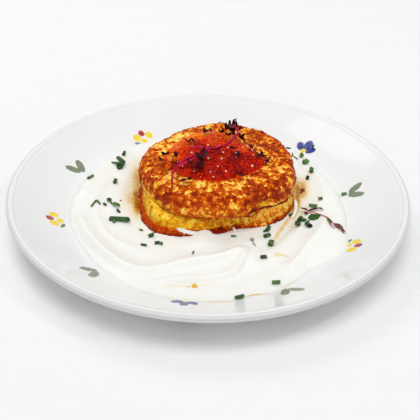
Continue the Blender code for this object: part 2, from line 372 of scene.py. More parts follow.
LIP_CENTRE = (RIM_RADIUS - LIP_RADIUS, PLATE_TOP - LIP_RADIUS)
WALL_END = (LIP_CENTRE[0] + LIP_RADIUS * cos(radians(LIP_ANGLES[0])),
            LIP_CENTRE[1] + LIP_RADIUS * sin(radians(LIP_ANGLES[0])))


def plate_z(radius):
    """Height of the plate's inner surface."""
    share = np.maximum(0.0, radius - WELL_RADIUS) / (WALL_END[0] - WELL_RADIUS)
    return WELL_Z + (WALL_END[1] - WELL_Z) * share ** WALL_POWER


def plate_profile():
    """The plate's section, from the middle of the well over the lip and back underneath to the middle."""
    beside_groove = WALL_END[0] - np.linspace(5.0, 0.6, 23) * MM
    wall = np.concatenate((np.linspace(WELL_RADIUS, WALL_END[0] - 5.2 * MM, 24), beside_groove))
    inner = [(radius * MM, WELL_Z) for radius in WELL_RINGS]
    line_in, line_half, line_depth = WALL_LINE
    for radius in wall:
        groove = line_depth * hump(radius, WALL_END[0] - line_in, line_half)
        inner.append((radius, float(plate_z(radius)) - groove))
    lip = []
    for angle in np.linspace(*LIP_ANGLES, 58):
        groove_and_shade = sum(float(bell(angle, line, RIM_LINE_SPREAD)) for line in RIM_LINES)
        reach = LIP_RADIUS - RIM_LINE_DEPTH * groove_and_shade
        lip.append((LIP_CENTRE[0] + reach * cos(radians(angle)), LIP_CENTRE[1] + reach * sin(radians(angle))))
    outer = []
    for radius in np.linspace(WALL_END[0], WELL_RADIUS + 6 * MM, 22):
        share = (radius - WELL_RADIUS) / (WALL_END[0] - WELL_RADIUS)
        rise = WALL_POWER * (WALL_END[1] - WELL_Z) / (WALL_END[0] - WELL_RADIUS)
        slope = math.atan(rise * share ** (WALL_POWER - 1.0))
        under = float(plate_z(radius)) - WALL_THICKNESS * cos(slope)
        outer.append((radius + WALL_THICKNESS * sin(slope), under))
    foot_out, foot_in = FOOT_RADIUS
    round_in, round_z = FOOT_ROUND
    foot = [(foot_out, 0.9 * MM), (foot_out - round_in, round_z), (foot_out - FOOT_FLAT, PLATE_LOW),
            (foot_in + FOOT_FLAT, PLATE_LOW), (foot_in + round_in, round_z), (foot_in, 0.8 * MM),
            (foot_in - 0.8 * MM, RECESS_Z), (40 * MM, RECESS_Z), (0.0, RECESS_Z)]
    return inner + lip + outer + foot


def turning_tree():
    """Geometry Nodes that turn a profile, drawn in the XZ plane from the axis outwards, about the Z axis."""
    inputs = {"Sides": "Int", "Glaze": "Material"}
    grown, work, given = new_tree("turned_on_a_wheel", "Profile", inputs, "Turned")
    throw_radius = 1.0
    ring = {"Resolution": given["Sides"], "Radius": throw_radius}
    circle = work.add("GeometryNodeCurvePrimitiveCircle", ring).outputs[0]
    across, _, up = work.parts(work.add("GeometryNodeInputPosition").outputs[0])
    place = work.vector(work.math("SUBTRACT", across, throw_radius), work.math("MULTIPLY", up, -1.0), 0.0)
    section = work.add("GeometryNodeMeshToCurve", {"Mesh": given["Profile"]}).outputs[0]
    section = work.add("GeometryNodeSetPosition", {"Geometry": section, "Position": place}).outputs[0]
    swept = work.add("GeometryNodeCurveToMesh", {"Curve": circle, "Profile Curve": section}).outputs[0]
    closed = work.add("GeometryNodeMergeByDistance", {"Geometry": swept, "Distance": 0.01 * MM}).outputs[0]
    work.finish(closed, given["Glaze"])
    return grown


DAB_EDGE = (0.86, 1.06)         # where a dab's paint starts to thin and where it ends, as shares of its size


def dab_group():
    """One brush dab: an oval of paint with a slightly wavering edge."""
    group = bpy.data.node_groups.new("painted_dab", "ShaderNodeTree")
    for name, start in (("Across", 0.0), ("Out", 0.0), ("Centre Across", 0.0), ("Centre Out", 0.0),
                        ("Half Length", 1.0), ("Half Width", 1.0), ("Turn", 0.0), ("Waver", 0.0)):
        group.interface.new_socket(name, in_out="INPUT", socket_type="NodeSocketFloat").default_value = start
    group.interface.new_socket("Paint", in_out="OUTPUT", socket_type="NodeSocketFloat")
    work = NodeWork(group)
    given = work.add("NodeGroupInput").outputs
    across = work.math("SUBTRACT", given["Across"], given["Centre Across"])
    out = work.math("SUBTRACT", given["Out"], given["Centre Out"])
    cosine, sine = work.math("COSINE", given["Turn"]), work.math("SINE", given["Turn"])
    along = work.math("ADD", work.math("MULTIPLY", out, cosine), work.math("MULTIPLY", across, sine))
    beside = work.math("SUBTRACT", work.math("MULTIPLY", across, cosine), work.math("MULTIPLY", out, sine))
    along = work.math("DIVIDE", along, given["Half Length"])
    beside = work.math("DIVIDE", beside, given["Half Width"])
    away = work.math("SQRT", work.math("ADD", work.math("POWER", work.math("ABSOLUTE", along), 2.0),
                                       work.math("POWER", work.math("ABSOLUTE", beside), 2.0)))
    wavering = work.math("ADD", away, given["Waver"])
    paint = work.math("SUBTRACT", 1.0, work.ease(wavering, *DAB_EDGE))
    work.tree.links.new(paint, work.add("NodeGroupOutput").inputs[0])
    return group


# Painted sprigs in a ring on the wall. A dab is a colour, its place across and outwards, half length and half
# width in millimetres, and its turn in degrees.
SPRIG_RADIUS = 108.0            # in millimetres
SPRIG_COUNT = 10
SPRIG_START = -97.0             # direction of the first one, in degrees
BUD = (
    ("blue", 0.0, 4.4, 4.8, 3.2, 0), ("blue", -5.0, 1.4, 4.4, 2.7, -48), ("blue", 5.0, 1.4, 4.4, 2.7, 48),
    ("yellow", 0.0, -1.2, 2.2, 2.2, 0), ("green", 0.0, -5.6, 3.2, 0.9, 0), ("green", 3.4, -6.6, 3.6, 1.7, 58),
)
LEAVES = (("green", -3.6, 0.0, 6.2, 2.9, -34), ("green", 3.6, 1.6, 6.2, 2.9, 28))
BERRIES = (
    ("yellow", -5.2, 0.3, 3.4, 2.9, 10), ("yellow", 5.2, 0.3, 3.4, 2.9, -10), ("red", 0.0, 3.0, 2.8, 2.6, 0),
    ("yellow", 0.6, -3.8, 3.0, 2.4, 60), ("green", 6.0, -5.2, 3.2, 1.4, 62),
)
SPRIGS = (BUD, LEAVES, BERRIES, LEAVES)
PAINTS = {"blue": srgb(0, 40, 138), "green": srgb(108, 124, 90), "yellow": srgb(240, 210, 0),
          "red": srgb(172, 26, 0)}
GLAZE_WHITES = ((0.3, (0.818, 0.829, 0.838)), (0.7, (0.840, 0.851, 0.859)))
# Grey painted on the lip's outer side as shade.
LIP_SHADE_GREY = (0.655, 0.655, 0.665, 1.0)
LIP_FLANK = ((95, 30), (-110, -60))     # where the painted shade on the lip fades in from above and from below, in degrees
# Grey painted in the lip's grooves as shade.
GROOVE_SHADE_GREY = (0.52, 0.50, 0.53, 1.0)


def paint_sprigs(work, glaze, place, turn, radius):
    """The glaze's colour with a ring of sprigs over it, each painted in dabs."""
    step = 2.0 * pi / SPRIG_COUNT
    sprig_turn = work.math("ADD", work.math("SUBTRACT", turn, radians(SPRIG_START)), step / 2.0)
    local = work.math("SUBTRACT", work.math("FLOORED_MODULO", sprig_turn, step), step / 2.0)
    number = work.math("FLOOR", work.math("DIVIDE", sprig_turn, step))
    number = work.math("FLOORED_MODULO", number, len(SPRIGS))
    radius_mm = work.math("DIVIDE", radius, MM)
    across = work.math("MULTIPLY", local, radius_mm)
    out = work.math("SUBTRACT", radius_mm, SPRIG_RADIUS)
    waver = work.math("MULTIPLY", work.math("SUBTRACT", work.noise(place, 700.0), 0.5), 0.5)
    brushed = work.ease(work.noise(place, 420.0, detail=4.0), 0.25, 0.75)
    strength = work.math("ADD", work.math("MULTIPLY", brushed, 0.14), 0.86)
    dab = dab_group()
    colour = glaze
    for kind, sprig in enumerate(SPRIGS):
        here = work.math("COMPARE", number, float(kind), 0.25)
        for paint, dab_across, dab_out, half_length, half_width, dab_turn in sprig:
            given = {"Across": across, "Out": out, "Centre Across": dab_across, "Centre Out": dab_out,
                     "Half Length": half_length, "Half Width": half_width, "Turn": radians(dab_turn),
                     "Waver": waver}
            spot = work.add("ShaderNodeGroup", node_tree=dab)
            for key, value in given.items():
                work.feed(spot.inputs[key], value)
            painted = work.math("MULTIPLY", work.math("MULTIPLY", spot.outputs[0], here), strength)
            colour = work.mix(painted, colour, (*PAINTS[paint], 1.0))
    return colour


def make_glaze():
    """White glaze with hand-painted sprigs, with shade painted grey on the lip's outer side and in its
    grooves.
    """
    material, shader, work = new_material("painted_glaze", 0.10, IOR=1.52)
    place = object_place(work)
    x, y, z = work.parts(place)
    turn = work.math("ARCTAN2", y, x)
    radius = work.math("SQRT", work.math("ADD", work.math("MULTIPLY", x, x), work.math("MULTIPLY", y, y)))
    colour = work.ramp(work.noise(place, 18.0, detail=2.0), GLAZE_WHITES)
    # Shade painted on the lip: its outer side is greyed.
    lip_turn = work.math("ARCTAN2", work.math("SUBTRACT", z, LIP_CENTRE[1]),
                         work.math("SUBTRACT", radius, LIP_CENTRE[0]))
    upper_end, lower_end = LIP_FLANK
    flank = work.math("MULTIPLY", work.ease(lip_turn, *map(radians, upper_end)),
                      work.ease(lip_turn, *map(radians, lower_end)))
    colour = work.mix(flank, colour, LIP_SHADE_GREY)
    # Shade painted in the grooves round the lip.
    for line in RIM_LINES:
        apart = work.math("ABSOLUTE", work.math("SUBTRACT", lip_turn, radians(line)))
        groove_and_shade = work.math("MULTIPLY", work.ease(apart, radians(RIM_LINE_SPREAD * 1.6), 0.0), 0.5)
        colour = work.mix(groove_and_shade, colour, GROOVE_SHADE_GREY)
    work.feed(shader.inputs["Base Color"], paint_sprigs(work, colour, place, turn, radius))
    bump(work, shader, work.noise(place, 30.0, detail=1.0), 0.25 * MM, 0.5)
    return material


def make_plate():
    """The coupe plate, turned from its section."""
    profile = plate_profile()
    points = [(radius, 0.0, z) for radius, z in profile]
    mesh = bpy.data.meshes.new("plate_section")
    mesh.from_pydata(points, [(i, i + 1) for i in range(len(profile) - 1)], [])
    turned = grow(turning_tree(), mesh, "plate_glazed", Sides=PLATE_SIDES, Glaze=make_glaze())
    return add_piece("plate_glazed", turned, replaces="plate")


# ---------------------------------------------------------------- sour cream

# Spoon ridges: the crest's path in plan, its height, and the reach of its hollow side and its steep side,
# all in millimetres. The hollow is on the left of the path.
RIDGES = (
    (((-72, 40), (-78, 24), (-79.5, 6), (-77, -13), (-70, -32), (-59, -45), (-46, -51.5)), 1.5, 9.0, 2.5),
    (((-90, -4), (-88, -20), (-81, -37), (-71, -53), (-57, -68), (-43, -74.5), (-29, -71), (-12, -64),
      (7, -58), (18, -51), (26, -42)), 4.1, 16.0, 5.5),
    (((-36, -88.5), (-22, -84.5), (-10, -82), (3, -80), (12, -76.5), (19, -70), (24, -56), (26, -44)),
     3.2, 13.0, 4.0),
    (((26, -47), (30, -57), (36, -68)), 1.2, 10.0, 8.0),
    (((51, -71), (58, -61), (67, -45), (78, -26), (84, -6)), 3.0, 12.0, 9.0),
    (((70, 58), (80, 41), (84, 21), (82, 5)), 1.5, 10.0, 7.0),
    (((-60, 71), (-76, 55), (-88, 31), (-92, 10)), 2.0, 14.0, 7.0),
)
# Grooves that a spoon left: path in plan, depth and half width, in millimetres.
GROOVES = (
    (((73, 27), (71, 13), (66, 1), (58, -17), (48, -32), (39, -44), (33, -52)), 2.4, 4.5),
    (((66, 36), (66, 21), (62, 5), (54, -11)), 1.2, 2.5),
    (((-33, -90), (-20, -88.6), (-9.4, -87.2), (2, -85), (14, -82.5)), 1.2, 1.7),
)
RIDGE_TAPER = 0.14              # share of a path over which it fades in and out
GROOVE_TAPER = 0.25
# Heights of the cream over the plate, in millimetres: beside the pancake, along its middle, and how much it
# falls to its outer edge. The middle dips at the front: direction, spread and depth.
CREAM_INNER = 4.0
CREAM_CREST = 7.8
CREAM_FALL = 2.7
CREAM_DIP = (-84.0, 34.0, 1.7)
# Where it stands higher against the pancake: direction, spread and height.
INNER_LOBES = ((-8, 16, 4.4), (100, 60, 2.4), (-98, 9, 3.6), (-72, 6, 1.0), (-60, 14, 0.8))


def smooth_path(points, per_span=14):
    """Points along a Catmull-Rom curve through the given ones."""
    given = np.array([points[0], *points, points[-1]], dtype=float)
    share = np.linspace(0.0, 1.0, per_span, endpoint=False)[:, None]
    spans = []
    for before, start, stop, after in zip(given, given[1:], given[2:], given[3:]):
        spans.append(0.5 * (2 * start + (stop - before) * share
                            + (2 * before - 5 * start + 4 * stop - after) * share ** 2
                            + (3 * start - before - 3 * stop + after) * share ** 3))
    return np.concatenate((*spans, given[-1:]))


def near_path(plan, points):
    """How far each plan point is from a path, on which side (1 is its left) and how far along it."""
    path = smooth_path(points) * MM
    distance = np.full(len(plan), np.inf)
    side = np.ones(len(plan))
    along = np.zeros(len(plan))
    for index, (start, stop) in enumerate(zip(path, path[1:])):
        run = stop - start
        away = plan - start
        part = np.clip(away @ run / (run @ run), 0.0, 1.0)
        rest = away - part[:, None] * run
        reach = np.hypot(rest[:, 0], rest[:, 1])
        closer = reach < distance
        distance = np.where(closer, reach, distance)
        side = np.where(closer, np.sign(run[0] * away[:, 1] - run[1] * away[:, 0]), side)
        along = np.where(closer, (index + part) / (len(path) - 1), along)
    return distance, side, along


def path_taper(along, taper=RIDGE_TAPER):
    """Fade in at both ends of a path."""
    return smooth(along / taper) * smooth((1.0 - along) / taper)


def ridge_height(plan, points, height, inner, outer):
    """One spoon ridge: hollow on the left of its crest and steep on the right."""
    distance, side, along = near_path(plan, points)
    hollow = np.clip(1.0 - distance / (inner * MM), 0.0, 1.0) ** 2
    steep = 1.0 - smooth(distance / (outer * MM))
    return height * MM * path_taper(along) * np.where(side > 0.0, hollow, steep)


def groove_depth(plan, points, depth, half_width):
    """One narrow groove."""
    distance, _, along = near_path(plan, points)
    return depth * MM * path_taper(along, GROOVE_TAPER) * np.exp(-(distance / (half_width * MM)) ** 2)


def cream_rim(turn):
    """Outer edge of the cream in plan."""
    around = np.stack((np.cos(turn), np.sin(turn), np.zeros_like(turn)), axis=1)
    waver = 1.3 * MM * rounded_noise(around, 0.22, seed=3)
    radius = lobed_radius(turn, (CREAM_RADIUS, CREAM_RADIUS), CREAM_LOBES) + waver
    return around[:, :2] * radius[:, None]


def pancake_rim(turn, inset):
    """The lower pancake's edge in plan, moved inwards by inset."""
    radius = lobed_radius(turn, LOWER_OVAL, LOWER_LOBES) - inset
    return np.array(LOWER_CENTRE) + np.stack((np.cos(turn), np.sin(turn)), axis=1) * radius[:, None]


CREAM_STEPS = 560
CREAM_RINGS = (112, 22)         # rings of points up to the rounded edge and over it
CREAM_ROUND = 0.22              # share of the width over which the outer edge rounds down
CREAM_ROUND_POWER = 2.4         # how late and steeply it does so
CREAM_TUCK = 5.0 * MM           # how far the cream runs in under the pancake's edge
CREAM_GAP = 0.3 * MM            # room between the cream and the pancake's underside
CREAM_UNDERCUTS = (0.6 * MM, 12.0 * MM)         # where its underside starts, in from the outer edge
CREAM_SINK = -0.02              # how far it presses into the glaze there, as a share of the edge's height
CREAM_BED = 0.1 * MM            # how high the rest of its underside lies


def cream_heights(plan, share, turn):
    """Height of the cream's top over the plate, before its outer edge rounds down."""
    degrees = np.degrees(turn)
    inner = CREAM_INNER + sum(size * bell(degrees, at, spread) for at, spread, size in INNER_LOBES)
    direction, spread, depth = CREAM_DIP
    crest = CREAM_CREST - depth * smooth(1.6 * bell(degrees, direction, spread))
    rising = inner + (crest - inner) * smooth(share / 0.5)
    falling = CREAM_FALL * smooth((share - 0.55) / 0.45)
    height = (rising - falling) * MM
    fade = smooth(share / 0.12)
    for ridge in RIDGES:
        height = height + ridge_height(plan, *ridge) * fade
    for groove in GROOVES:
        height = height - groove_depth(plan, *groove)
    flat = np.column_stack((plan, np.zeros(len(plan))))
    height += 0.9 * MM * rounded_noise(flat, 26 * MM, seed=11, octaves=2) * smooth(share / 0.2)
    streaks = np.column_stack((share * 46.0, degrees / 34.0, np.zeros(len(plan))))
    height += 0.10 * MM * soft_noise(streaks, 1.0, seed=23) * smooth(share / 0.1)
    return height


def make_cream_mesh():
    """The spooned bed of cream, from under the pancake to its outer edge and back underneath."""
    def over_plate(plan, height):
        plate = plate_z(np.hypot(plan[:, 0], plan[:, 1]))
        return np.column_stack((plan, plate + height))

    turn = np.linspace(-pi, pi, CREAM_STEPS, endpoint=False)
    start, rim = pancake_rim(turn, CREAM_TUCK), cream_rim(turn)
    level_rings, edge_rings = CREAM_RINGS
    rounding = np.sin(np.linspace(0.0, pi / 2.0, edge_rings))
    shares = np.concatenate((np.linspace(0.0, 1.0 - CREAM_ROUND, level_rings, endpoint=False),
                             1.0 - CREAM_ROUND + CREAM_ROUND * rounding))
    rings = []
    for part in (0.2, 0.6):
        plan = np.array(LOWER_CENTRE) + (start - np.array(LOWER_CENTRE)) * part
        rings.append(np.column_stack((plan, np.full(CREAM_STEPS, LOWER_LOW - CREAM_GAP))))
    for share in shares:
        plan = start + (rim - start) * share
        height = cream_heights(plan, np.full(CREAM_STEPS, share), turn)
        past = max(0.0, (share - 1.0 + CREAM_ROUND) / CREAM_ROUND)
        rings.append(over_plate(plan, height * (1.0 - past ** CREAM_ROUND_POWER)))
    edge_height = cream_heights(rim, np.ones(CREAM_STEPS), turn)
    for inset in CREAM_UNDERCUTS:
        rings.append(over_plate(rim * (1.0 - inset / CREAM_RADIUS), CREAM_SINK * edge_height))
    for part in (0.6, 0.2):
        rings.append(over_plate(rim * part, CREAM_BED))
    return skin_mesh("sour_cream_swirled", np.array(rings))


# Browned butter that pooled between cream and pancake, with painted shade and warm bounced light from the
# pancake: direction, spread, reach outwards in millimetres and strength.
BUTTER_AND_SHADE_POOLS = ((-168, 15, 16.0, 0.75), (172, 14, 15.0, 0.50), (150, 13, 13.0, 0.32), (-150, 10, 10.0, 0.70),
                (6, 11, 8.0, 0.7), (-15, 10, 8.0, 1.1), (24, 12, 4.5, 0.35))
# Where it ran on, with painted shade beside the pancake and in the spoon's grooves: path in plan, half width
# in millimetres and strength.
BUTTER_AND_SHADE_RUNS = (
    (((-54, 70), (-53, 52), (-52.5, 38), (-52, 24), (-51, 10), (-49.5, -8), (-47, -20)), 5.4, 0.64),
    (((-52.5, 30), (-52, 18), (-50.5, 4), (-49, -14)), 3.6, 1.05),
    (((66, 44), (65.5, 30), (64.5, 16), (62.5, 3), (59.5, -10)), 3.2, 0.88),
    (((68, 42), (69, 30), (68.5, 20), (64.5, 10)), 4.2, 0.62),
    (((67, 16), (63, 4), (58, -6), (51, -20.5), (45.5, -33), (40, -45)), 1.7, 0.50),
    (((70, 14), (66, 2), (61, -10), (54, -24)), 3.6, 0.24),
    (((77, 50), (75, 44), (72, 36)), 1.6, 0.18),
    (((-30, -90), (-19, -89.4), (-9, -88.2), (2, -85.8), (12, -83.4)), 1.0, 0.38),
    (((-17, -90.3), (-8, -88.8), (-1, -86.6)), 0.6, 0.35),
    (((45, -53), (50, -53.8), (54.5, -58)), 1.1, 0.38),
)
BUTTER_AND_SHADE_TAPER = 0.3
# Round stains: x, y, half width in millimetres and strength.
BUTTER_SPOTS = ((46.5, -53.6, 2.2, 0.42), (-7.8, -89.3, 2.4, 0.45), (68.5, 24.0, 3.2, 0.55))
# Thin oil with painted contact shadow where the cream's edge meets the plate: direction, spread and strength.
OIL_AND_SHADE_LINES = ((-86, 4.5, 0.50), (-72.5, 4.0, 0.75), (-57, 3.5, 0.30), (-101, 4.0, 0.25))
OIL_AND_SHADE_INSET = 0.8 * MM            # how far in from the cream's edge it lies
OIL_AND_SHADE_HALF_WIDTH = 0.55 * MM
CREAM_WHITES = ((0.3, (0.870, 0.872, 0.836)), (0.7, (0.890, 0.893, 0.860)))
CREAM_NEAR = (0.885, 0.930, 0.895, 1.0)         # cooler beside the pancakes, which shine warm light on it
CREAM_NEAR_REACH = 26.0 * MM
BUTTER_AND_SHADE_BROWNS = ((0.0, (1.0, 1.0, 1.0)), (0.3, srgb(250, 232, 200)), (0.6, srgb(232, 182, 100)),
                 (0.8, srgb(206, 142, 46)), (1.0, srgb(164, 104, 18)))


def butter_and_shade_pool(plan, direction, spread, reach, strength):
    """Butter with painted shade, held against the pancake's side over a range of directions."""
    away = plan - np.array(LOWER_CENTRE)
    turn = np.arctan2(away[:, 1], away[:, 0])
    outwards = np.hypot(away[:, 0], away[:, 1]) - lobed_radius(turn, UPPER_OVAL, UPPER_LOBES)
    return strength * bell(np.degrees(turn), direction, spread) * (1.0 - smooth(outwards / (reach * MM)))


def oil_and_shade_line(plan, direction, spread, strength):
    """Oil and painted contact shadow along the cream's outer edge over a range of directions."""
    turn = np.arctan2(plan[:, 1], plan[:, 0])
    edge = np.hypot(*cream_rim(turn).T)
    inwards = np.abs(edge - OIL_AND_SHADE_INSET - np.hypot(plan[:, 0], plan[:, 1])) / OIL_AND_SHADE_HALF_WIDTH
    return strength * bell(np.degrees(turn), direction, spread) * np.exp(-inwards ** 2)


def butter_stain_and_shade(plan):
    """How strongly butter and oil stain the cream, and painted shade darkens it, at each plan point."""
    stain = np.zeros(len(plan))
    for path, half_width, strength in BUTTER_AND_SHADE_RUNS:
        distance, _, along = near_path(plan, path)
        run = strength * np.exp(-(distance / (half_width * MM)) ** 2) * path_taper(along, BUTTER_AND_SHADE_TAPER)
        stain = np.maximum(stain, run)
    for pool in BUTTER_AND_SHADE_POOLS:
        stain = np.maximum(stain, butter_and_shade_pool(plan, *pool))
    for line in OIL_AND_SHADE_LINES:
        stain = np.maximum(stain, oil_and_shade_line(plan, *line))
    for x, y, half_width, strength in BUTTER_SPOTS:
        distance = np.hypot(plan[:, 0] - x * MM, plan[:, 1] - y * MM)
        stain = np.maximum(stain, strength * np.exp(-(distance / (half_width * MM)) ** 2))
    return stain


def make_cream_finish():
    """Thick white cream with browned butter and painted shade on it, glossier where that mask is."""
    material, shader, work = new_material("thick_sour_cream", 0.34, IOR=1.42, Subsurface_Weight=0.25,
                                          Subsurface_Scale=0.003)
    shader.inputs["Subsurface Radius"].default_value = (1.0, 0.95, 0.8)
    place = object_place(work)
    cream = work.ramp(work.noise(place, 40.0, detail=3.0), CREAM_WHITES)
    # Painted cooler beside the pancakes, to offset the warm light they shine on the cream.
    cream = work.mix(mask(work, "near"), cream, CREAM_NEAR)
    broken = work.math("ADD", work.math("MULTIPLY", work.noise(place, 380.0, detail=4.0), 0.9), 0.5)
    # The butter mask also carries painted shade beside the pancake, in grooves and at the edge.
    butter = work.math("MULTIPLY", mask(work, "butter"), broken, clamp=True)
    stained = work.ramp(butter, BUTTER_AND_SHADE_BROWNS)
    work.feed(shader.inputs["Base Color"], work.mix(1.0, cream, stained, blend="MULTIPLY"))
    work.feed(shader.inputs["Roughness"], work.math("SUBTRACT", 0.36, work.math("MULTIPLY", butter, 0.18)))
    bump(work, shader, work.noise(place, 900.0, detail=2.0), 0.05 * MM, 0.35)
    return material


def make_cream():
    """The cream, with the butter that stains it and the painted shade kept as one mask."""
    mesh = make_cream_mesh()
    plan = mesh_points(mesh)[:, :2]
    # Butter stains and painted shade, kept together.
    store_mask(mesh, "butter", butter_stain_and_shade(plan))
    away = plan - np.array(LOWER_CENTRE)
    side = lobed_radius(np.arctan2(away[:, 1], away[:, 0]), LOWER_OVAL, LOWER_LOBES)
    store_mask(mesh, "near", 1.0 - smooth((np.hypot(away[:, 0], away[:, 1]) - side) / CREAM_NEAR_REACH))
    return add_piece("sour_cream_swirled", mesh, make_cream_finish(), replaces="sour_cream")


# ---------------------------------------------------------------- pancakes

PANCAKE_STEPS = 520
UPPER_RINGS = (74, 52, 12)      # rings of points across the top, round the side and across the bottom
LOWER_RINGS = (40, 88, 12)
SIDE_SQUARENESS = 0.7           # under 1 makes a side steeper than a half circle
UPPER_EDGE = 8.0 * MM
UPPER_DROOP = 1.6               # over 1 makes the side widest low down
LOWER_EDGE = 5.0 * MM
TORN_INSET = 6.0 * MM           # the torn side stands back from the bottom crust
LEDGE = (0.20, 0.40)            # share of the height over which the torn side steps back
FLAP_OUT = 1.8 * MM             # how far the flap stands out
# What lies where round the upper pancake: direction and spread in degrees.
FLAP = (-44.0, 15.0)            # a flap of batter that hangs over the side
FLAP_TEAR = (-54.0, 6.0)        # yellow inside that shows under the flap
LEFT_TEAR = (-147.0, 13.0)      # and low on the left
EVEN_FRONT = (-92.0, 38.0)      # a band of plainer crust low at the front
# The same round the lower pancake.
TORN_SIDE = (-118.0, 72.0)      # the side that is torn open
TORN_END = (-71.0, 5.0)         # the last of it towards the right
LEDGE_CRUST = (-145.0, 44.0)    # the bottom crust that shows plainly at the left
LEFT_LIFT = (-146.0, 14.0)      # where the top lifts at the left
GOLDEN_SIDE = (-40.0, 34.0)     # the golden side at the right front
DARK_FRONT = (-92.0, 17.0)      # browner at the front
CREASE_SHADOW = (-47.0, 20.0)          # shadow painted in the crease under the upper pancake


def cake_sections(height, edge, rings, droop=1.0):
    """Where each ring of a cake lies, from the top centre to the bottom centre.

    A ring is given by its share of the flat face, how far it reaches out into the edge, and its height.
    """
    top_rings, side_rings, bottom_rings = rings
    top = [(share, 0.0, height) for share in np.linspace(0.02, 1.0, top_rings)]
    angles = np.linspace(0.0, pi, side_rings + 2)[1:-1]
    side = [(1.0, edge * sin(angle) ** SIDE_SQUARENESS, height * ((1.0 + cos(angle)) / 2.0) ** droop)
            for angle in angles]
    bottom = [(share, 0.0, 0.0) for share in np.linspace(1.0, 0.05, bottom_rings)]
    return top + side + bottom


def crust_tree():
    """Geometry Nodes that roughen a cake into fried potato batter.

    The browned net stands up and the pale patches lie lower. Both are kept on the points for the crust.
    """
    inputs = {"Lumps": "Float", "Net": "Float", "Offset": "Vector", "Crust": "Material"}
    grown, work, given = new_tree("fried_crust", "Cake", inputs, "Fried")
    start = work.add("GeometryNodeInputPosition").outputs[0]
    place = work.add("ShaderNodeVectorMath", {0: start, 1: given["Offset"]}, operation="ADD").outputs[0]
    patch = work.noise(place, 225.0, detail=4.0, roughness=0.60, distortion=0.6)
    fine = work.noise(place, 520.0, detail=3.0, roughness=0.6, distortion=0.4)
    lumps = work.noise(place, 60.0, detail=2.0)
    smoothing = work.math("SUBTRACT", 1.0, work.math("MULTIPLY", work.kept("torn"), 0.75))
    net = work.math("ADD", work.math("MULTIPLY", work.math("SUBTRACT", 0.5, patch), 5.0),
                    work.math("MULTIPLY", work.math("SUBTRACT", 0.5, fine), 3.0))
    height = work.math("MULTIPLY", work.math("MULTIPLY", net, given["Net"]), smoothing)
    height = work.math("MULTIPLY_ADD", work.math("SUBTRACT", lumps, 0.5), given["Lumps"], height)
    height = work.math("MULTIPLY", height, work.kept("rough"))
    normal = work.add("GeometryNodeInputNormal").outputs[0]
    inputs = {"Geometry": given["Cake"], "Offset": work.scaled(normal, height)}
    rough = work.add("GeometryNodeSetPosition", inputs).outputs[0]
    rough = work.keep(work.keep(rough, "patch", patch), "fine", fine)
    work.finish(rough, given["Crust"])
    return grown


def upper_top_z(x, y):
    """Height of the upper pancake's domed top."""
    away = np.hypot((x - UPPER_CENTRE.x) / UPPER_OVAL[0], (y - UPPER_CENTRE.y) / UPPER_OVAL[1])
    return UPPER_TOP - UPPER_DOME * away ** 2


# Where the upper pancake's side is paler or browner than the rest: direction, its spread, height as a share
# of the side, its spread, and how much paler. The dark one at -63 is a painted shadow in the slit under the
# flap.
UPPER_TONES = (
    (-44, 13, 0.07, 0.08, 0.26), (-63, 3.5, 0.10, 0.14, -0.45), (-42, 14, 0.48, 0.15, -0.10),
    (-158, 16, 0.25, 0.22, 0.06), (-90, 40, 0.35, 0.3, 0.02), (-95, 30, 0.03, 0.08, -0.08),
    (150, 22, 1.0, 0.5, 0.05), (-58, 15, 0.80, 0.25, -0.03), (-113, 8, 0.40, 0.14, 0.06),
    (-130, 9, 0.75, 0.3, -0.05), (-77, 9, 0.62, 0.16, 0.06),
)
SIDE_TONE = -0.035              # how much browner the side is as a whole
# The same for its top: x, y and spread in millimetres, and how much paler. The first, at the back left, is
# paler partly as a painted sheen.
TOP_TONES = (
    (-32, 52, 17, 0.13), (-4, -9.5, 4.5, 0.15), (3, -10, 3.5, 0.10), (20, -13, 4, 0.15), (-15, -19, 4, 0.12),
    (44, 9, 8, 0.08), (42, 38, 12, 0.02), (-32, -4, 12, 0.03), (-43, 18, 8, -0.02), (26, -20, 8, -0.02),
    (4, -20, 6, -0.03), (-26, 2, 5, 0.07),
)


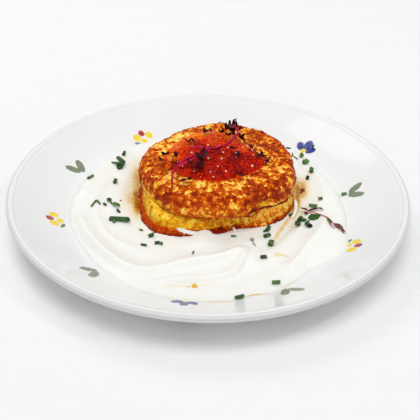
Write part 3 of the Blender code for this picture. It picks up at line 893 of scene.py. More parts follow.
def upper_cake():
    """The upper pancake before its crust: an oval with a round browned side and a domed top."""
    turn = np.linspace(-pi, pi, PANCAKE_STEPS, endpoint=False)
    degrees = np.degrees(turn)
    around = np.stack((np.cos(turn), np.sin(turn), np.zeros_like(turn)), axis=1)
    flat = lobed_radius(turn, UPPER_OVAL, UPPER_LOBES) - UPPER_EDGE
    raised = 4.2 * MM * smooth((degrees + 67.0) / 4.0) * (1.0 - smooth((degrees + 58.0) / 26.0))
    sag = 0.9 * MM * rounded_noise(around, 0.35, seed=41)
    left_tear = smooth(1.6 * bell(degrees, *LEFT_TEAR))
    shoulder = UPPER_TOP - UPPER_DOME * (1.0 - UPPER_EDGE / UPPER_OVAL[1]) ** 2 - UPPER_LOW
    rings, tones, torn, plain = [], [], [], []
    for face, reach, up in cake_sections(shoulder, UPPER_EDGE, UPPER_RINGS, UPPER_DROOP):
        radius = flat * face + reach
        on_top = reach == 0.0 and up > 0.0
        share_up = up / shoulder
        if reach > 0.0:
            flap = hump(share_up, 0.07, 0.10) - 0.8 * hump(share_up, 0.32, 0.10)
            radius = radius + FLAP_OUT * flap * bell(degrees, *FLAP)
        x, y = UPPER_CENTRE.x + radius * np.cos(turn), UPPER_CENTRE.y + radius * np.sin(turn)
        if on_top:
            z = upper_top_z(x, y)
            browned = 0.03 * smooth((face - 0.8) / 0.2)
            tone = sum(gain * np.exp(-((x - at_x * MM) ** 2 + (y - at_y * MM) ** 2) / (size * MM) ** 2)
                       for at_x, at_y, size, gain in TOP_TONES) - browned
            low_down = under_flap = band = 0.0
        else:
            z = UPPER_LOW + up + (sag * (1.0 if reach > 0.0 else 0.0) + raised) * (1.0 - share_up)
            tone = sum(gain * bell(degrees, at, spread) * hump(share_up, level, depth)
                       for at, spread, level, depth, gain in UPPER_TONES) + SIDE_TONE
            low_down = 1.0 - float(smooth((share_up - 0.20) / 0.25))
            under_flap = hump(share_up, 0.26, 0.12)
            band = 1.0 - float(smooth((share_up - 0.45) / 0.4))
        rings.append(np.column_stack((x, y, z)))
        tones.append(tone + np.zeros(PANCAKE_STEPS))
        torn.append(low_down * left_tear + under_flap * bell(degrees, *FLAP_TEAR))
        plain.append(0.6 * band * bell(degrees, *EVEN_FRONT))
    mesh = skin_mesh("pancake_upper_cake", np.array(rings))
    store_rings(mesh, tone=tones, torn=torn, plain=plain)
    under = np.array([float(z.max() <= UPPER_LOW + 1.5 * MM) for z in np.array(rings)[:, :, 2]])
    store_rings(mesh, poles=(1.0, 0.2), rough=np.repeat(1.0 - 0.8 * under, PANCAKE_STEPS))
    return mesh


def lower_cake():
    """The lower pancake before its crust: torn and yellow at the front, over a brown bottom crust."""
    turn = np.linspace(-pi, pi, PANCAKE_STEPS, endpoint=False)
    degrees = np.degrees(turn)
    height = LOWER_TOP - LOWER_LOW
    outline = lobed_radius(turn, LOWER_OVAL, LOWER_LOBES)
    open_side = bell(degrees, *TORN_SIDE)
    bare = np.maximum(smooth((open_side - 0.45) / 0.3), bell(degrees, *TORN_END))
    golden, darker = bell(degrees, *GOLDEN_SIDE), bell(degrees, *DARK_FRONT)
    crease_shadow = smooth(1.5 * bell(degrees, *CREASE_SHADOW))
    ledge = bell(degrees, *LEDGE_CRUST)
    raised = 4.0 * MM * smooth((degrees + 60.0) / 9.0) * (1.0 - smooth((degrees + 48.0) / 28.0))
    raised += 2.5 * MM * bell(degrees, *LEFT_LIFT)
    rings, torn, tones, plain = [], [], [], []
    for face, reach, up in cake_sections(height, LOWER_EDGE, LOWER_RINGS):
        share_up = up / height
        step = open_side * smooth((share_up - LEDGE[0]) / (LEDGE[1] - LEDGE[0]))
        radius = (outline - TORN_INSET * step - LOWER_EDGE) * face + reach
        x, y = LOWER_CENTRE.x + radius * np.cos(turn), LOWER_CENTRE.y + radius * np.sin(turn)
        rings.append(np.column_stack((x, y, LOWER_LOW + up + raised * smooth((share_up - 0.4) / 0.6))))
        torn.append(bare * smooth((share_up - LEDGE[1] + 0.04) / 0.08))
        below = 1.0 - smooth((share_up - 0.16) / 0.3)
        above = smooth((share_up - 0.25) / 0.3)
        # Shadow painted in the crease under the upper pancake.
        crease = smooth((share_up - 0.84) / 0.1) * float(face > 0.75) * crease_shadow
        dark = darker * (0.06 + 0.08 * (1.0 - above))
        tones.append(-0.13 * below + 0.06 * golden * above - dark - 0.32 * crease)
        plain.append(np.maximum(ledge * (1.0 - smooth((share_up - 0.40) / 0.08)), 0.55 * golden * above))
    mesh = skin_mesh("pancake_lower_cake", np.array(rings))
    store_rings(mesh, torn=torn, tone=tones, plain=plain)
    store_mask(mesh, "rough", np.ones(len(mesh.vertices)))
    return mesh


CRUST_BROWNS = (
    (0.33, srgb(128, 30, 0)), (0.41, srgb(176, 58, 0)), (0.475, srgb(204, 88, 2)), (0.525, srgb(224, 116, 8)),
    (0.575, srgb(242, 152, 26)), (0.62, srgb(253, 192, 66)), (0.68, srgb(255, 224, 118)),
)
INSIDE_YELLOWS = ((0.38, srgb(206, 120, 6)), (0.46, srgb(236, 172, 18)), (0.54, srgb(248, 198, 40)),
                  (0.64, srgb(255, 228, 104)))


def make_crust():
    """Fried batter, from dark brown to pale yellow where it stayed off the pan, and yellow where torn. Its
    tone also carries some painted shadow and sheen.
    """
    material, shader, work = new_material("fried_crust", 0.42, IOR=1.45, Specular_IOR_Level=0.12)
    place = object_place(work)
    tone, torn, plain, patch, fine = (mask(work, key) for key in ("tone", "torn", "plain", "patch", "fine"))
    finest = work.noise(place, 1500.0, detail=3.0, roughness=0.6)
    broad = work.noise(place, 38.0, detail=2.0)

    def plus(value, centre, gain, total):
        return work.math("MULTIPLY_ADD", work.math("SUBTRACT", value, centre), gain, total)

    varied = plus(broad, 0.5, 0.20, work.math("SUBTRACT", patch, 0.5))
    varied = work.math("MULTIPLY", varied, work.math("SUBTRACT", 1.0, work.math("MULTIPLY", plain, 0.8)))
    varied = plus(fine, 0.5, 0.45, varied)
    flaked = work.ease(work.math("ADD", varied, tone), 0.010, 0.045)
    varied = plus(flaked, 0.35, 0.06, plus(finest, 0.5, 0.45, varied))
    browned = work.ramp(work.math("ADD", work.math("ADD", varied, 0.5), tone), CRUST_BROWNS)
    inside = work.ramp(plus(fine, 0.5, 0.5, work.math("ADD", patch, tone)), INSIDE_YELLOWS)
    work.feed(shader.inputs["Base Color"], work.mix(torn, browned, inside))
    work.feed(shader.inputs["Roughness"], work.math("MULTIPLY_ADD", finest, 0.35, 0.26))
    grain = work.noise(place, 1100.0, detail=5.0, roughness=0.65)
    bump(work, shader, grain, 0.35 * MM, 0.6)
    return material


def make_pancakes():
    """Both pancakes, fried rough by one tree of nodes."""
    grown = crust_tree()
    crust = make_crust()
    fried = grow(grown, upper_cake(), "pancake_upper_fried", Lumps=4.0 * MM, Net=0.75 * MM,
                 Offset=(0.0, 0.0, 0.0), Crust=crust)
    upper = add_piece("pancake_upper_fried", fried, replaces="pancake_upper")
    fried = grow(grown, lower_cake(), "pancake_lower_fried", Lumps=3.0 * MM, Net=0.7 * MM,
                 Offset=(0.3, 0.1, 0.2), Crust=crust)
    lower = add_piece("pancake_lower_fried", fried, replaces="pancake_lower")
    return upper, lower


# ---------------------------------------------------------------- laying small things on the dish

def search_trees(pieces):
    """What is needed to find the surface of finished pieces."""
    seen = bpy.context.evaluated_depsgraph_get()
    return [BVHTree.FromObject(piece, seen) for piece in pieces]


def surface_at(trees, x, y):
    """Where a thing dropped at x, y in millimetres comes to rest, and the way the surface faces there."""
    start = Vector((x * MM, y * MM, PLATE_TOP + CRESS_TOP))
    hits = [tree.ray_cast(start, Vector((0.0, 0.0, -1.0))) for tree in trees]
    place, facing, _, _ = max((hit for hit in hits if hit[0] is not None), key=lambda hit: hit[0].z)
    return place, facing


def over_dish(trees, x, y, lift):
    """The place that is lift over the surface at x, y, all in millimetres."""
    return surface_at(trees, x, y)[0] + Vector((0.0, 0.0, lift * MM))


def scatter_tree():
    """Geometry Nodes that put a shape at each point, with the turn and size kept on the point."""
    inputs = {"Shape": "Object", "Finish": "Material"}
    grown, work, given = new_tree("scattered", "Places", inputs, "Scattered")
    shape = work.add("GeometryNodeObjectInfo", {"Object": given["Shape"]}).outputs["Geometry"]
    turn = work.add("FunctionNodeEulerToRotation", {0: work.kept("turn", "FLOAT_VECTOR")}).outputs[0]
    inputs = {"Points": given["Places"], "Instance": shape, "Rotation": turn,
              "Scale": work.kept("size", "FLOAT_VECTOR")}
    work.finish(work.add("GeometryNodeInstanceOnPoints", inputs).outputs[0], given["Finish"])
    return grown


def scatter(name, shape, places, finish):
    """One copy of a shape for each place, as one mesh. A place is (position, turn, size, tone)."""
    positions, turns, sizes, tones = zip(*places)
    mesh = bpy.data.meshes.new(name)
    mesh.from_pydata([tuple(position) for position in positions], [], [])
    for key, rows in (("turn", turns), ("size", sizes)):
        layer = mesh.attributes.new(key, "FLOAT_VECTOR", "POINT")
        layer.data.foreach_set("vector", np.ravel(rows).astype(np.float32))
    store_mask(mesh, "tone", tones)
    model = bpy.data.objects.new(name + "_shape", shape)
    bpy.context.scene.collection.objects.link(model)
    scattered = grow(SCATTER, mesh, name, Shape=model, Finish=finish)
    bpy.data.objects.remove(model)
    return scattered


THREAD_SIDES = 8


def thread_tree():
    """Geometry Nodes that make lines of edges round, as thick as the value kept on their points."""
    inputs = {"Sides": "Int", "Finish": "Material"}
    grown, work, given = new_tree("round_threads", "Lines", inputs, "Threads")
    line = work.add("GeometryNodeMeshToCurve", {"Mesh": given["Lines"]}).outputs[0]
    section = work.add("GeometryNodeCurvePrimitiveCircle", {"Resolution": given["Sides"], "Radius": 1.0})
    inputs = {"Curve": line, "Profile Curve": section.outputs[0], "Scale": work.kept("thick"),
              "Fill Caps": True}
    work.finish(work.add("GeometryNodeCurveToMesh", inputs).outputs[0], given["Finish"])
    return grown


def spin_threads(name, threads, finish):
    """Round threads as one mesh. A thread is (points in metres, radius, tone) and thins towards its ends."""
    points, edges, thick, tones = [], [], [], []
    for path, radius, tone in threads:
        line = smooth_path(path, per_span=6)
        start = len(points)
        share = np.linspace(0.0, 1.0, len(line))
        points += [tuple(point) for point in line]
        edges += [(start + index, start + index + 1) for index in range(len(line) - 1)]
        thick += (radius * (0.45 + 0.55 * np.sin(share * pi) ** 0.4)).tolist()
        tones += [tone] * len(line)
    mesh = bpy.data.meshes.new(name)
    mesh.from_pydata(points, edges, [])
    store_mask(mesh, "thick", thick)
    store_mask(mesh, "tone", tones)
    return grow(THREADS, mesh, name, Sides=THREAD_SIDES, Finish=finish)


SCATTER = scatter_tree()
THREADS = thread_tree()


def leaf_shape(name, cup=0.28, curl=0.25, stations=9, around=10, thickness=0.05):
    """A leaf one long and one wide from its stalk at the origin along Y: cupped across and curled along."""
    turn = np.linspace(0.0, 2.0 * pi, around, endpoint=False)
    rings = []
    for share in np.linspace(0.02, 0.98, stations):
        half = 0.5 * sin(pi * share ** 0.8) ** 0.7
        across = half * np.cos(turn)
        up = 2.0 * cup * across ** 2 + curl * share ** 2 + thickness * np.sin(turn)
        rings.append(np.column_stack((across, np.full(around, share), up)))
    return skin_mesh(name, np.array(rings))


def tube_shape(name, hollow=0.74, sides=12):
    """A cut length of hollow stalk, one long along X and one in radius, with its ends cut askew."""
    turn = np.linspace(0.0, 2.0 * pi, sides, endpoint=False)
    loops = []
    for radius, end in ((1.0, 0.5), (hollow, 0.46), (hollow, -0.46), (1.0, -0.5)):
        askew = 0.10 * np.cos(turn) * (1.0 if end > 0.0 else -0.6)
        loops.append(np.column_stack((end + askew, radius * np.cos(turn), radius * np.sin(turn))))
    points = np.concatenate(loops)
    here = np.arange(sides)
    after = (here + 1) % sides
    faces = []
    for loop in range(4):
        first, second = loop * sides, (loop + 1) % 4 * sides
        faces += np.stack((first + here, first + after, second + after, second + here), 1).tolist()
    mesh = bpy.data.meshes.new(name)
    mesh.from_pydata(points.tolist(), [], faces)
    mesh.shade_smooth()
    mesh.set_sharp_from_angle(angle=radians(50))
    return mesh


def lump_shape(name, rough=0.22):
    """An uneven lump of radius one."""
    form = bmesh.new()
    bmesh.ops.create_icosphere(form, subdivisions=3, radius=1.0)
    mesh = bpy.data.meshes.new(name)
    form.to_mesh(mesh)
    form.free()
    points = mesh_points(mesh)
    points *= (1.0 + rough * rounded_noise(points, 0.9, seed=5))[:, None]
    mesh.vertices.foreach_set("co", points.ravel())
    mesh.shade_smooth()
    return mesh


# ---------------------------------------------------------------- fish roe

ROE_CENTRE = Vector((4.0, 25.0)) * MM
# How far the roe spreads from its centre: direction in degrees and reach in millimetres.
ROE_REACH = (
    (-171, 38.5), (-158, 36.4), (-144, 35.6), (-125, 32.6), (-101, 32.0), (-77, 30.6), (-56, 30.4),
    (-23, 35.6), (-5, 37.4), (19, 30.2), (36, 27.6), (53, 31.4), (68, 36.4), (90, 38.6), (105, 39.4),
    (124, 36.6), (150, 34.6), (172, 37.0),
)
EGG_RADIUS = 1.3 * MM
EGG_SPACING = 1.75 * MM
EGG_SIZES = (0.8, 1.16)         # least and most size, as a share of the usual one
EGG_LIFTS = (-0.55 * MM, 0.25 * MM)             # least and most height of an egg's middle over the heap
# Heaps and hollows within the roe: x, y, spread and height in millimetres.
ROE_HEAPS = ((-20, 33, 12, 1.4), (24, 16, 10, 1.8), (-2, 6, 11, 0.8), (4, 46, 12, 2.0), (-18, 8, 8, -1.0),
             (8, 22, 8, -1.2))
BIG_EGGS = ((-28.5, 18.5), (-25.9, 19.8), (-27.0, 16.2), (-24.6, 17.0), (28.5, 33.0), (21.0, -1.5),
            (-9.0, 45.5))
# Pale beads that are painted glints on the roe: the bigger ones as x, y and radius, and how many small ones
# lie where around them.
ROE_GLINT_BEADS = ((27.5, 40.0, 1.5), (29.6, 39.2, 0.8), (-27.0, 38.0, 1.1), (30.4, 11.0, 0.9), (12.0, 2.0, 0.85),
             (-22.5, 14.0, 0.8))
SMALL_GLINT_BEADS = 34
SMALL_GLINT_X = (-26, 34)
SMALL_GLINT_Y = (-4, 56)
ROE_REDS = ((0.0, srgb(128, 8, 0)), (0.22, srgb(178, 20, 2)), (0.42, srgb(208, 40, 4)),
            (0.68, srgb(228, 84, 8)), (1.0, srgb(248, 140, 28)))
# Pale pinks of the painted glints.
GLINT_TINTS = ((0.35, srgb(244, 176, 140)), (0.6, srgb(255, 232, 214)))


def roe_core():
    """The heap under the eggs: a low mound with a ragged edge."""
    turn = np.linspace(-pi, pi, 200, endpoint=False)
    around = np.stack((np.cos(turn), np.sin(turn)), axis=1)
    ragged = 1.3 * MM * rounded_noise(np.column_stack((around, np.zeros_like(turn))), 0.3, seed=61)
    directions, reaches = zip(*ROE_REACH)
    reach = np.interp(np.degrees(turn), directions, reaches, period=360.0) * MM
    outline = reach - EGG_RADIUS * 0.8 + ragged
    crown = ROE_TOP - UPPER_TOP - EGG_RADIUS
    rings = []
    for share in np.linspace(0.03, 1.0, 40):
        plan = np.array(ROE_CENTRE) + around * outline[:, None] * share
        height = crown * (1.0 - share ** 2.8) ** 0.8
        for x, y, spread, gain in ROE_HEAPS:
            away = np.hypot(plan[:, 0] - x * MM, plan[:, 1] - y * MM) / (spread * MM)
            height = height + gain * MM * np.exp(-away ** 2) * smooth((1.0 - share) / 0.3)
        rings.append(np.column_stack((plan, upper_top_z(*plan.T) + height)))
    for share, drop in ((1.0, 0.7), (0.6, 0.9), (0.1, 0.9)):
        plan = np.array(ROE_CENTRE) + around * outline[:, None] * share
        rings.append(np.column_stack((plan, upper_top_z(*plan.T) - drop * MM)))
    return skin_mesh("roe_heap", np.array(rings))


def roe_tree():
    """Geometry Nodes that cover a heap with eggs."""
    inputs = {"Radius": "Float", "Spacing": "Float", "Seed": "Int", "Finish": "Material"}
    grown, work, given = new_tree("roe_eggs", "Heap", inputs, "Roe")
    facing = work.add("GeometryNodeInputNormal").outputs[0]
    outside = work.math("GREATER_THAN", work.parts(facing)[2], -0.2)
    inputs = {"Mesh": given["Heap"], "Selection": outside, "Distance Min": given["Spacing"],
              "Density Max": 2.0e6, "Seed": given["Seed"]}
    spots = work.add("GeometryNodeDistributePointsOnFaces", inputs, distribute_method="POISSON").outputs
    offset = work.scaled(spots["Normal"], work.random(*EGG_LIFTS, seed=5))
    places = work.add("GeometryNodeSetPosition", {"Geometry": spots[0], "Offset": offset}).outputs[0]
    places = work.keep(places, "tone", work.random(0.25, 1.0, seed=8))
    egg = work.add("GeometryNodeMeshIcoSphere", {"Radius": given["Radius"], "Subdivisions": 2}).outputs[0]
    inputs = {"Points": places, "Instance": egg, "Scale": work.random(*EGG_SIZES, seed=3)}
    eggs = work.add("GeometryNodeInstanceOnPoints", inputs).outputs[0]
    join = work.add("GeometryNodeJoinGeometry")
    work.tree.links.new(eggs, join.inputs[0])
    work.tree.links.new(given["Heap"], join.inputs[0])
    work.finish(join.outputs[0], given["Finish"])
    return grown


def make_roe_finish():
    """Clear red eggs, more orange towards the back and the left of the heap."""
    material, shader, work = new_material("fish_roe", 0.12, IOR=1.40, Subsurface_Weight=0.4,
                                          Subsurface_Scale=0.0012, Specular_IOR_Level=0.22)
    shader.inputs["Subsurface Radius"].default_value = (1.0, 0.25, 0.08)
    place = object_place(work)
    x, y, _ = work.parts(place)
    cloud = work.noise(place, 90.0, detail=2.0)
    back = work.ease(y, 14.0 * MM, 52.0 * MM)
    left = work.ease(work.math("MULTIPLY", x, -1.0), 4.0 * MM, 30.0 * MM)
    warm = work.math("MULTIPLY_ADD", left, 0.34, work.math("MULTIPLY", back, 0.50))
    warm = work.math("MULTIPLY_ADD", mask(work, "tone"), 0.40, warm)
    warm = work.math("ADD", warm, work.math("MULTIPLY", work.math("SUBTRACT", cloud, 0.5), 1.1))
    work.feed(shader.inputs["Base Color"], work.ramp(warm, ROE_REDS))
    work.feed(shader.inputs["Roughness"], work.math("MULTIPLY_ADD", cloud, 0.16, 0.06))
    bump(work, shader, work.noise(place, 900.0, detail=2.0), 0.08 * MM, 0.4)
    return material


def make_glint_finish():
    """Glossy pale beads, as painted glints."""
    material, shader, work = new_material("painted_glint_bead", 0.04, IOR=1.47)
    speck = work.noise(object_place(work), 800.0, detail=2.0)
    work.feed(shader.inputs["Base Color"], work.ramp(speck, GLINT_TINTS))
    return material


def make_roe(upper):
    """Fish roe heaped on the upper pancake, with a few bigger eggs and pale beads that are painted glints."""
    finish = make_roe_finish()
    grown = roe_tree()
    heap = roe_core()
    store_mask(heap, "tone", np.full(len(heap.vertices), 0.3))
    eggs = grow(grown, heap, "roe_eggs", Radius=EGG_RADIUS, Spacing=EGG_SPACING, Seed=4, Finish=finish)
    roe = add_piece("roe_eggs", eggs, replaces="roe")
    trees = search_trees((roe, upper))
    places = []
    for number, (x, y) in enumerate(BIG_EGGS):
        size = (1.75 + 0.3 * (number % 3)) * MM
        spot, _ = surface_at(trees, x, y)
        middle = spot + Vector((0.0, 0.0, 0.35 * size))
        places.append((middle, (0.0, 0.0, 0.0), (size, size, size * 0.9), 1.5))
    add_piece("roe_big_eggs", scatter("roe_big_eggs", lump_shape("egg", rough=0.03), places, finish))
    # Pale beads over the roe as painted glints.
    fixed = np.random.default_rng(43)
    small = zip(fixed.uniform(*SMALL_GLINT_X, SMALL_GLINT_BEADS), fixed.uniform(*SMALL_GLINT_Y, SMALL_GLINT_BEADS),
                0.3 + 0.6 * fixed.uniform(0, 1, SMALL_GLINT_BEADS) ** 2)
    places = []
    for x, y, radius in (*ROE_GLINT_BEADS, *small):
        size = radius * MM
        spot, facing = surface_at(trees, x, y)
        places.append((spot + facing * 0.25 * size, (0.0, 0.0, x), (size * 1.2, size, size * 0.9), 0.0))
    glint_finish = make_glint_finish()
    beads = scatter("roe_oil_beads", lump_shape("painted_glint_bead", rough=0.08), places, glint_finish)
    add_piece("roe_oil_beads", beads)
    return roe


# ---------------------------------------------------------------- red cress

# Stems: points in millimetres, radius in millimetres and tone, from dark to bright magenta.
CRESS_STEMS = (
    (((-24.9, -18.8, 40), (-24.7, -6.5, 44), (-21.5, 0.5, 45), (-17.9, 7.7, 46), (-11.8, 12.3, 47),
      (-5.8, 16.8, 48), (0.5, 19.9, 49), (6.8, 21.8, 49), (12.3, 24.9, 50), (17.0, 31.1, 51),
      (20.3, 37.6, 52), (19.5, 43.5, 52), (16.9, 48.0, 53)), 1.0, 0.72),
    (((-21, 0.8, 45.5), (-14, 7.0, 46.5), (-5, 12.4, 48), (0, 17.6, 49)), 0.7, 0.95),
    (((-15, 26.0, 46), (-8, 24.3, 47.5), (0, 20.6, 49), (6, 20.8, 49.5)), 0.6, 0.85),
    (((1, 21.6, 49), (7, 16.9, 49.5), (10, 13.0, 48.5), (13, 10.1, 47.5), (17, 7.3, 46.5), (21, 2.4, 45.5),
      (24, -3.4, 44.5)), 0.42, 0.35),
    (((15, 21.2, 48.5), (18, 15.3, 47.5), (21, 11.4, 46.5)), 0.42, 0.6),
    (((-1, 2.6, 47), (3, -6.3, 46), (6, -10.2, 44)), 0.3, 0.55),
    (((-35, -4.8, 40), (-39, -14.0, 39.5), (-40, -18.0, 38.5)), 0.28, 0.1),
    (((28, 34.7, 45), (34, 26.0, 43), (42, 20.3, 41)), 0.4, 0.05),
    (((-16, 9, 46), (-22, 4, 45.5), (-27, 1.0, 43), (-31, 1.5, 41.5)), 0.34, 0.45),
    (((-13, 6.5, 46.5), (-9, 9.5, 48.0), (-3, 10.5, 48.0), (4, 13.5, 48.5), (9, 20.0, 49.5)), 0.38, 0.7),
    (((-22, -2.0, 44), (-18.5, -7.5, 42.5), (-17, -13.0, 40.5)), 0.26, 0.3),
    (((-26, 19, 44), (-25, 10, 45), (-26.5, 2.5, 43.5), (-30, -3.0, 41)), 0.36, 0.15),
    (((4, 40, 48), (2, 33, 49), (4, 27, 49.5), (8, 22.5, 49.5)), 0.34, 0.8),
    (((20, 3.5, 46), (24, -0.5, 45.5), (27, -5.5, 44)), 0.3, 0.2),
)
# Leaves in clusters: place in millimetres, how many, how long in millimetres and how upright in degrees.
CRESS_LEAVES = (
    (-31, 20.4, 45, 3, 4.6, 20), (-33.5, 15.3, 43, 2, 4.0, 5), (-23, 13.7, 47, 2, 5.4, 30),
    (-23.5, 7.7, 46, 3, 5.0, 10), (-15, 33.0, 46.5, 3, 4.4, 15), (-11, 33.6, 46.5, 2, 4.0, 5),
    (-4, 46.5, 47, 3, 4.4, 15), (1, 47.4, 47, 2, 4.0, 10), (-6, 8.4, 48.5, 4, 7.0, 15),
    (-8, -0.8, 47, 3, 6.6, 5), (-4.5, 3.5, 48.5, 3, 6.0, 10), (-13, 5.1, 47, 3, 4.8, 10),
    (-15, -8.6, 44, 2, 5.2, -10), (2, 21.7, 50, 3, 5.0, 10), (6.5, 19.0, 50, 2, 5.4, 5),
    (-5, 15.4, 49, 2, 4.4, 20), (18, 21.3, 48.5, 2, 3.8, 20), (20, 12.4, 48, 3, 4.8, 10),
    (21, -3.6, 46, 2, 4.6, 0), (38, 21.1, 43, 3, 5.4, 5), (41.5, 18.6, 42, 2, 4.6, 0),
    (9, 43.0, 49, 4, 4.8, 30), (13, 41.1, 50, 3, 4.6, 20), (18, 44.5, 50.5, 4, 5.0, 25),
    (22.8, 43.8, 50, 4, 4.8, 25), (25.0, 43.0, 49.5, 2, 4.2, 10), (15.5, 47.5, 51, 3, 5.2, 55),
    (11.5, 49.5, 49, 2, 4.6, 60), (31, 29.5, 44.5, 2, 4.0, 5),
)
CRESS_LEAF_LIFTS = (0.5, 4.0)   # least and most height of a cluster over the dish, in millimetres
# Leaves that stand up where the stems end: foot, length and width in millimetres, heading and lean in
# degrees, and tone.
CRESS_TOPS = (
    (17.2, 49.5, 50.5, 6.4, 2.8, 20, 82, 0.10), (14.6, 49.8, 50.0, 6.0, 2.4, -20, 78, 0.06),
    (19.6, 49.0, 50.4, 5.4, 2.4, 50, 70, 0.12), (17.0, 51.0, 54.0, 3.6, 2.0, -75, 25, 0.0),
    (12.0, 50.8, 49.0, 4.6, 1.6, 10, 84, 0.05), (8.6, 50.5, 48.0, 3.4, 0.8, 0, 88, 0.2),
    (15.5, 47.5, 50.2, 4.2, 2.8, 40, 60, 0.62), (19.0, 47.0, 50.0, 4.4, 2.6, -30, 55, 0.05),
    (21.0, 45.8, 49.5, 4.0, 2.8, -70, 35, 0.0),
)
# From dark to bright magenta, and from dark purple through wine red and grey brown to green.
STEM_TONES = ((0.0, srgb(52, 10, 16)), (0.35, srgb(118, 8, 26)), (0.7, srgb(170, 12, 52)),
              (1.0, srgb(214, 44, 96)))
LEAF_TONES = ((0.0, srgb(44, 8, 14)), (0.2, srgb(80, 12, 26)), (0.4, srgb(110, 24, 34)),
              (0.6, srgb(92, 92, 74)), (0.8, srgb(44, 92, 30)), (1.0, srgb(86, 134, 56)))


def make_cress_finish(name, tones, mottling, bump_distance, bump_strength):
    """Fine stems or leaves that take their colour from the tone kept on them, a little mottled."""
    material, shader, work = new_material(name, 0.4, IOR=1.42, Specular_IOR_Level=0.15,
                                          Subsurface_Weight=0.15, Subsurface_Scale=0.0006)
    mottle = work.math("SUBTRACT", work.noise(object_place(work), 700.0, detail=3.0), 0.5)
    tone = work.math("MULTIPLY_ADD", mottle, mottling, mask(work, "tone"))
    work.feed(shader.inputs["Base Color"], work.ramp(tone, tones))
    bump(work, shader, mottle, bump_distance, bump_strength)
    return material


def make_cress(ground, stem_finish, leaf_finish):
    """Red cress tangled on the roe, with its tuft at the back."""
    fixed = np.random.default_rng(17)
    threads = []
    for path, radius, tone in CRESS_STEMS:
        points = []
        for x, y, z in path:
            spot, _ = surface_at(ground, x, y)
            points.append((x * MM, y * MM, max(z * MM, spot.z + 0.6 * radius * MM)))
        threads.append((points, radius * MM, tone))
    stems = spin_threads("cress_stems", threads, stem_finish)
    places = []
    least, most = CRESS_LEAF_LIFTS
    for x, y, z, count, length, upright in CRESS_LEAVES:
        spot, _ = surface_at(ground, x, y)
        foot = Vector((x * MM, y * MM, min(max(z * MM, spot.z + least * MM), spot.z + most * MM)))
        first = fixed.uniform(0.0, 2.0 * pi)
        for number in range(count):
            heading = first + number * 2.0 * pi / count + fixed.uniform(-0.5, 0.5)
            lift = radians(upright + fixed.uniform(-12.0, 22.0))
            roll = fixed.uniform(-0.7, 0.7)
            grown_to = length * fixed.uniform(0.75, 1.1) * MM
            size = (grown_to * fixed.uniform(0.5, 0.72), grown_to, grown_to * 0.8)
            places.append((foot, (lift, roll, heading), size, fixed.uniform(0.0, 0.16)))
    for x, y, z, length, width, heading, lean, tone in CRESS_TOPS:
        places.append((Vector((x, y, z)) * MM, (radians(lean), 0.0, radians(heading)),
                       (width * MM, length * MM, length * 0.8 * MM), tone))
    leaves = scatter("cress_leaves", leaf_shape("cress_leaf"), places, leaf_finish)
    add_piece("cress_stems", stems, replaces="red_cress")
    add_piece("cress_leaves", leaves)


# ---------------------------------------------------------------- chives, a loose sprig and crumbs

# Cut chives: x, y, length and width across in millimetres, heading and how far they stand up in degrees.
CHIVES = (
    (-64.7, 64.2, 4.0, 2.4, 80, 5), (-66.2, 55.4, 9.5, 3.2, -56, 4), (-66.5, 50.4, 6.0, 3.6, 8, 8),
    (-71.0, 52.2, 4.2, 1.6, -22, 10), (-66.4, 47.4, 4.0, 2.6, 35, 0), (-68.4, 29.2, 3.4, 3.2, 70, 35),
    (-86.6, 31.9, 5.6, 2.2, 50, 0), (-73.2, -0.7, 0.8, 3.0, 20, 60), (-70.6, 4.6, 1.6, 3.8, 30, 62),
    (-64.9, -1.3, 1.8, 5.4, 60, 60), (-63.1, -7.6, 3.4, 2.0, -60, 0), (-61.2, -18.7, 13.0, 3.8, -3, 0),
    (-64.6, -21.6, 2.2, 2.0, 60, 20), (-45.8, -26.7, 2.8, 1.3, -25, 0), (-38.5, -34.3, 3.6, 2.8, 25, 10),
    (-42.6, -46.7, 3.8, 1.9, -12, 0), (-33.8, -43.5, 3.4, 2.4, 15, 0), (-31.3, -44.2, 2.4, 2.2, -40, 20),
    (61.3, 78.8, 3.6, 1.4, -30, 10), (63.7, 67.8, 3.6, 1.1, 85, 10), (66.0, 64.0, 5.4, 0.9, -58, 5),
    (70.7, 65.8, 2.8, 3.0, 20, 50), (71.6, 60.6, 2.6, 1.0, 80, 0), (72.8, 56.6, 4.4, 3.6, 30, 15),
    (80.1, 79.4, 3.4, 1.7, 60, 0), (76.4, 44.8, 3.4, 3.3, 80, 30), (73.1, 37.6, 2.4, 3.0, 10, 78),
    (80.0, 9.4, 2.6, 2.4, -20, 20), (74.5, 3.0, 5.2, 2.8, -8, 0), (58.7, -4.2, 3.4, 2.1, 35, 0),
    (64.2, -11.7, 3.8, 3.0, 60, 10), (66.4, -14.4, 3.4, 2.6, -30, 0), (62.2, -18.7, 3.4, 4.0, 70, 55),
    (69.0, -22.7, 4.8, 3.4, -55, 8), (69.1, -17.8, 2.2, 2.0, 20, 10), (41.6, -23.3, 4.0, 3.1, 65, 10),
    (39.6, -25.4, 2.6, 1.8, 25, 0), (40.4, -31.5, 4.6, 2.9, 30, 0), (98.6, 20.5, 3.6, 2.3, 15, 0),
    (42.8, -39.7, 3.8, 3.8, 70, 25), (37.2, -57.6, 4.2, 2.7, 12, 0), (43.9, -85.0, 4.8, 2.9, 6, 0),
    (20.2, -101.6, 5.4, 2.9, 22, 0), (-9.5, -55.0, 2.8, 1.3, 75, 0), (17.6, -33.0, 3.2, 1.8, -5, 0),
    (30.1, -36.6, 0.5, 2.8, 0, 75), (62.1, 14.2, 2.0, 1.2, 80, 0), (-27.0, 66.0, 3.2, 2.4, 30, 10),
)
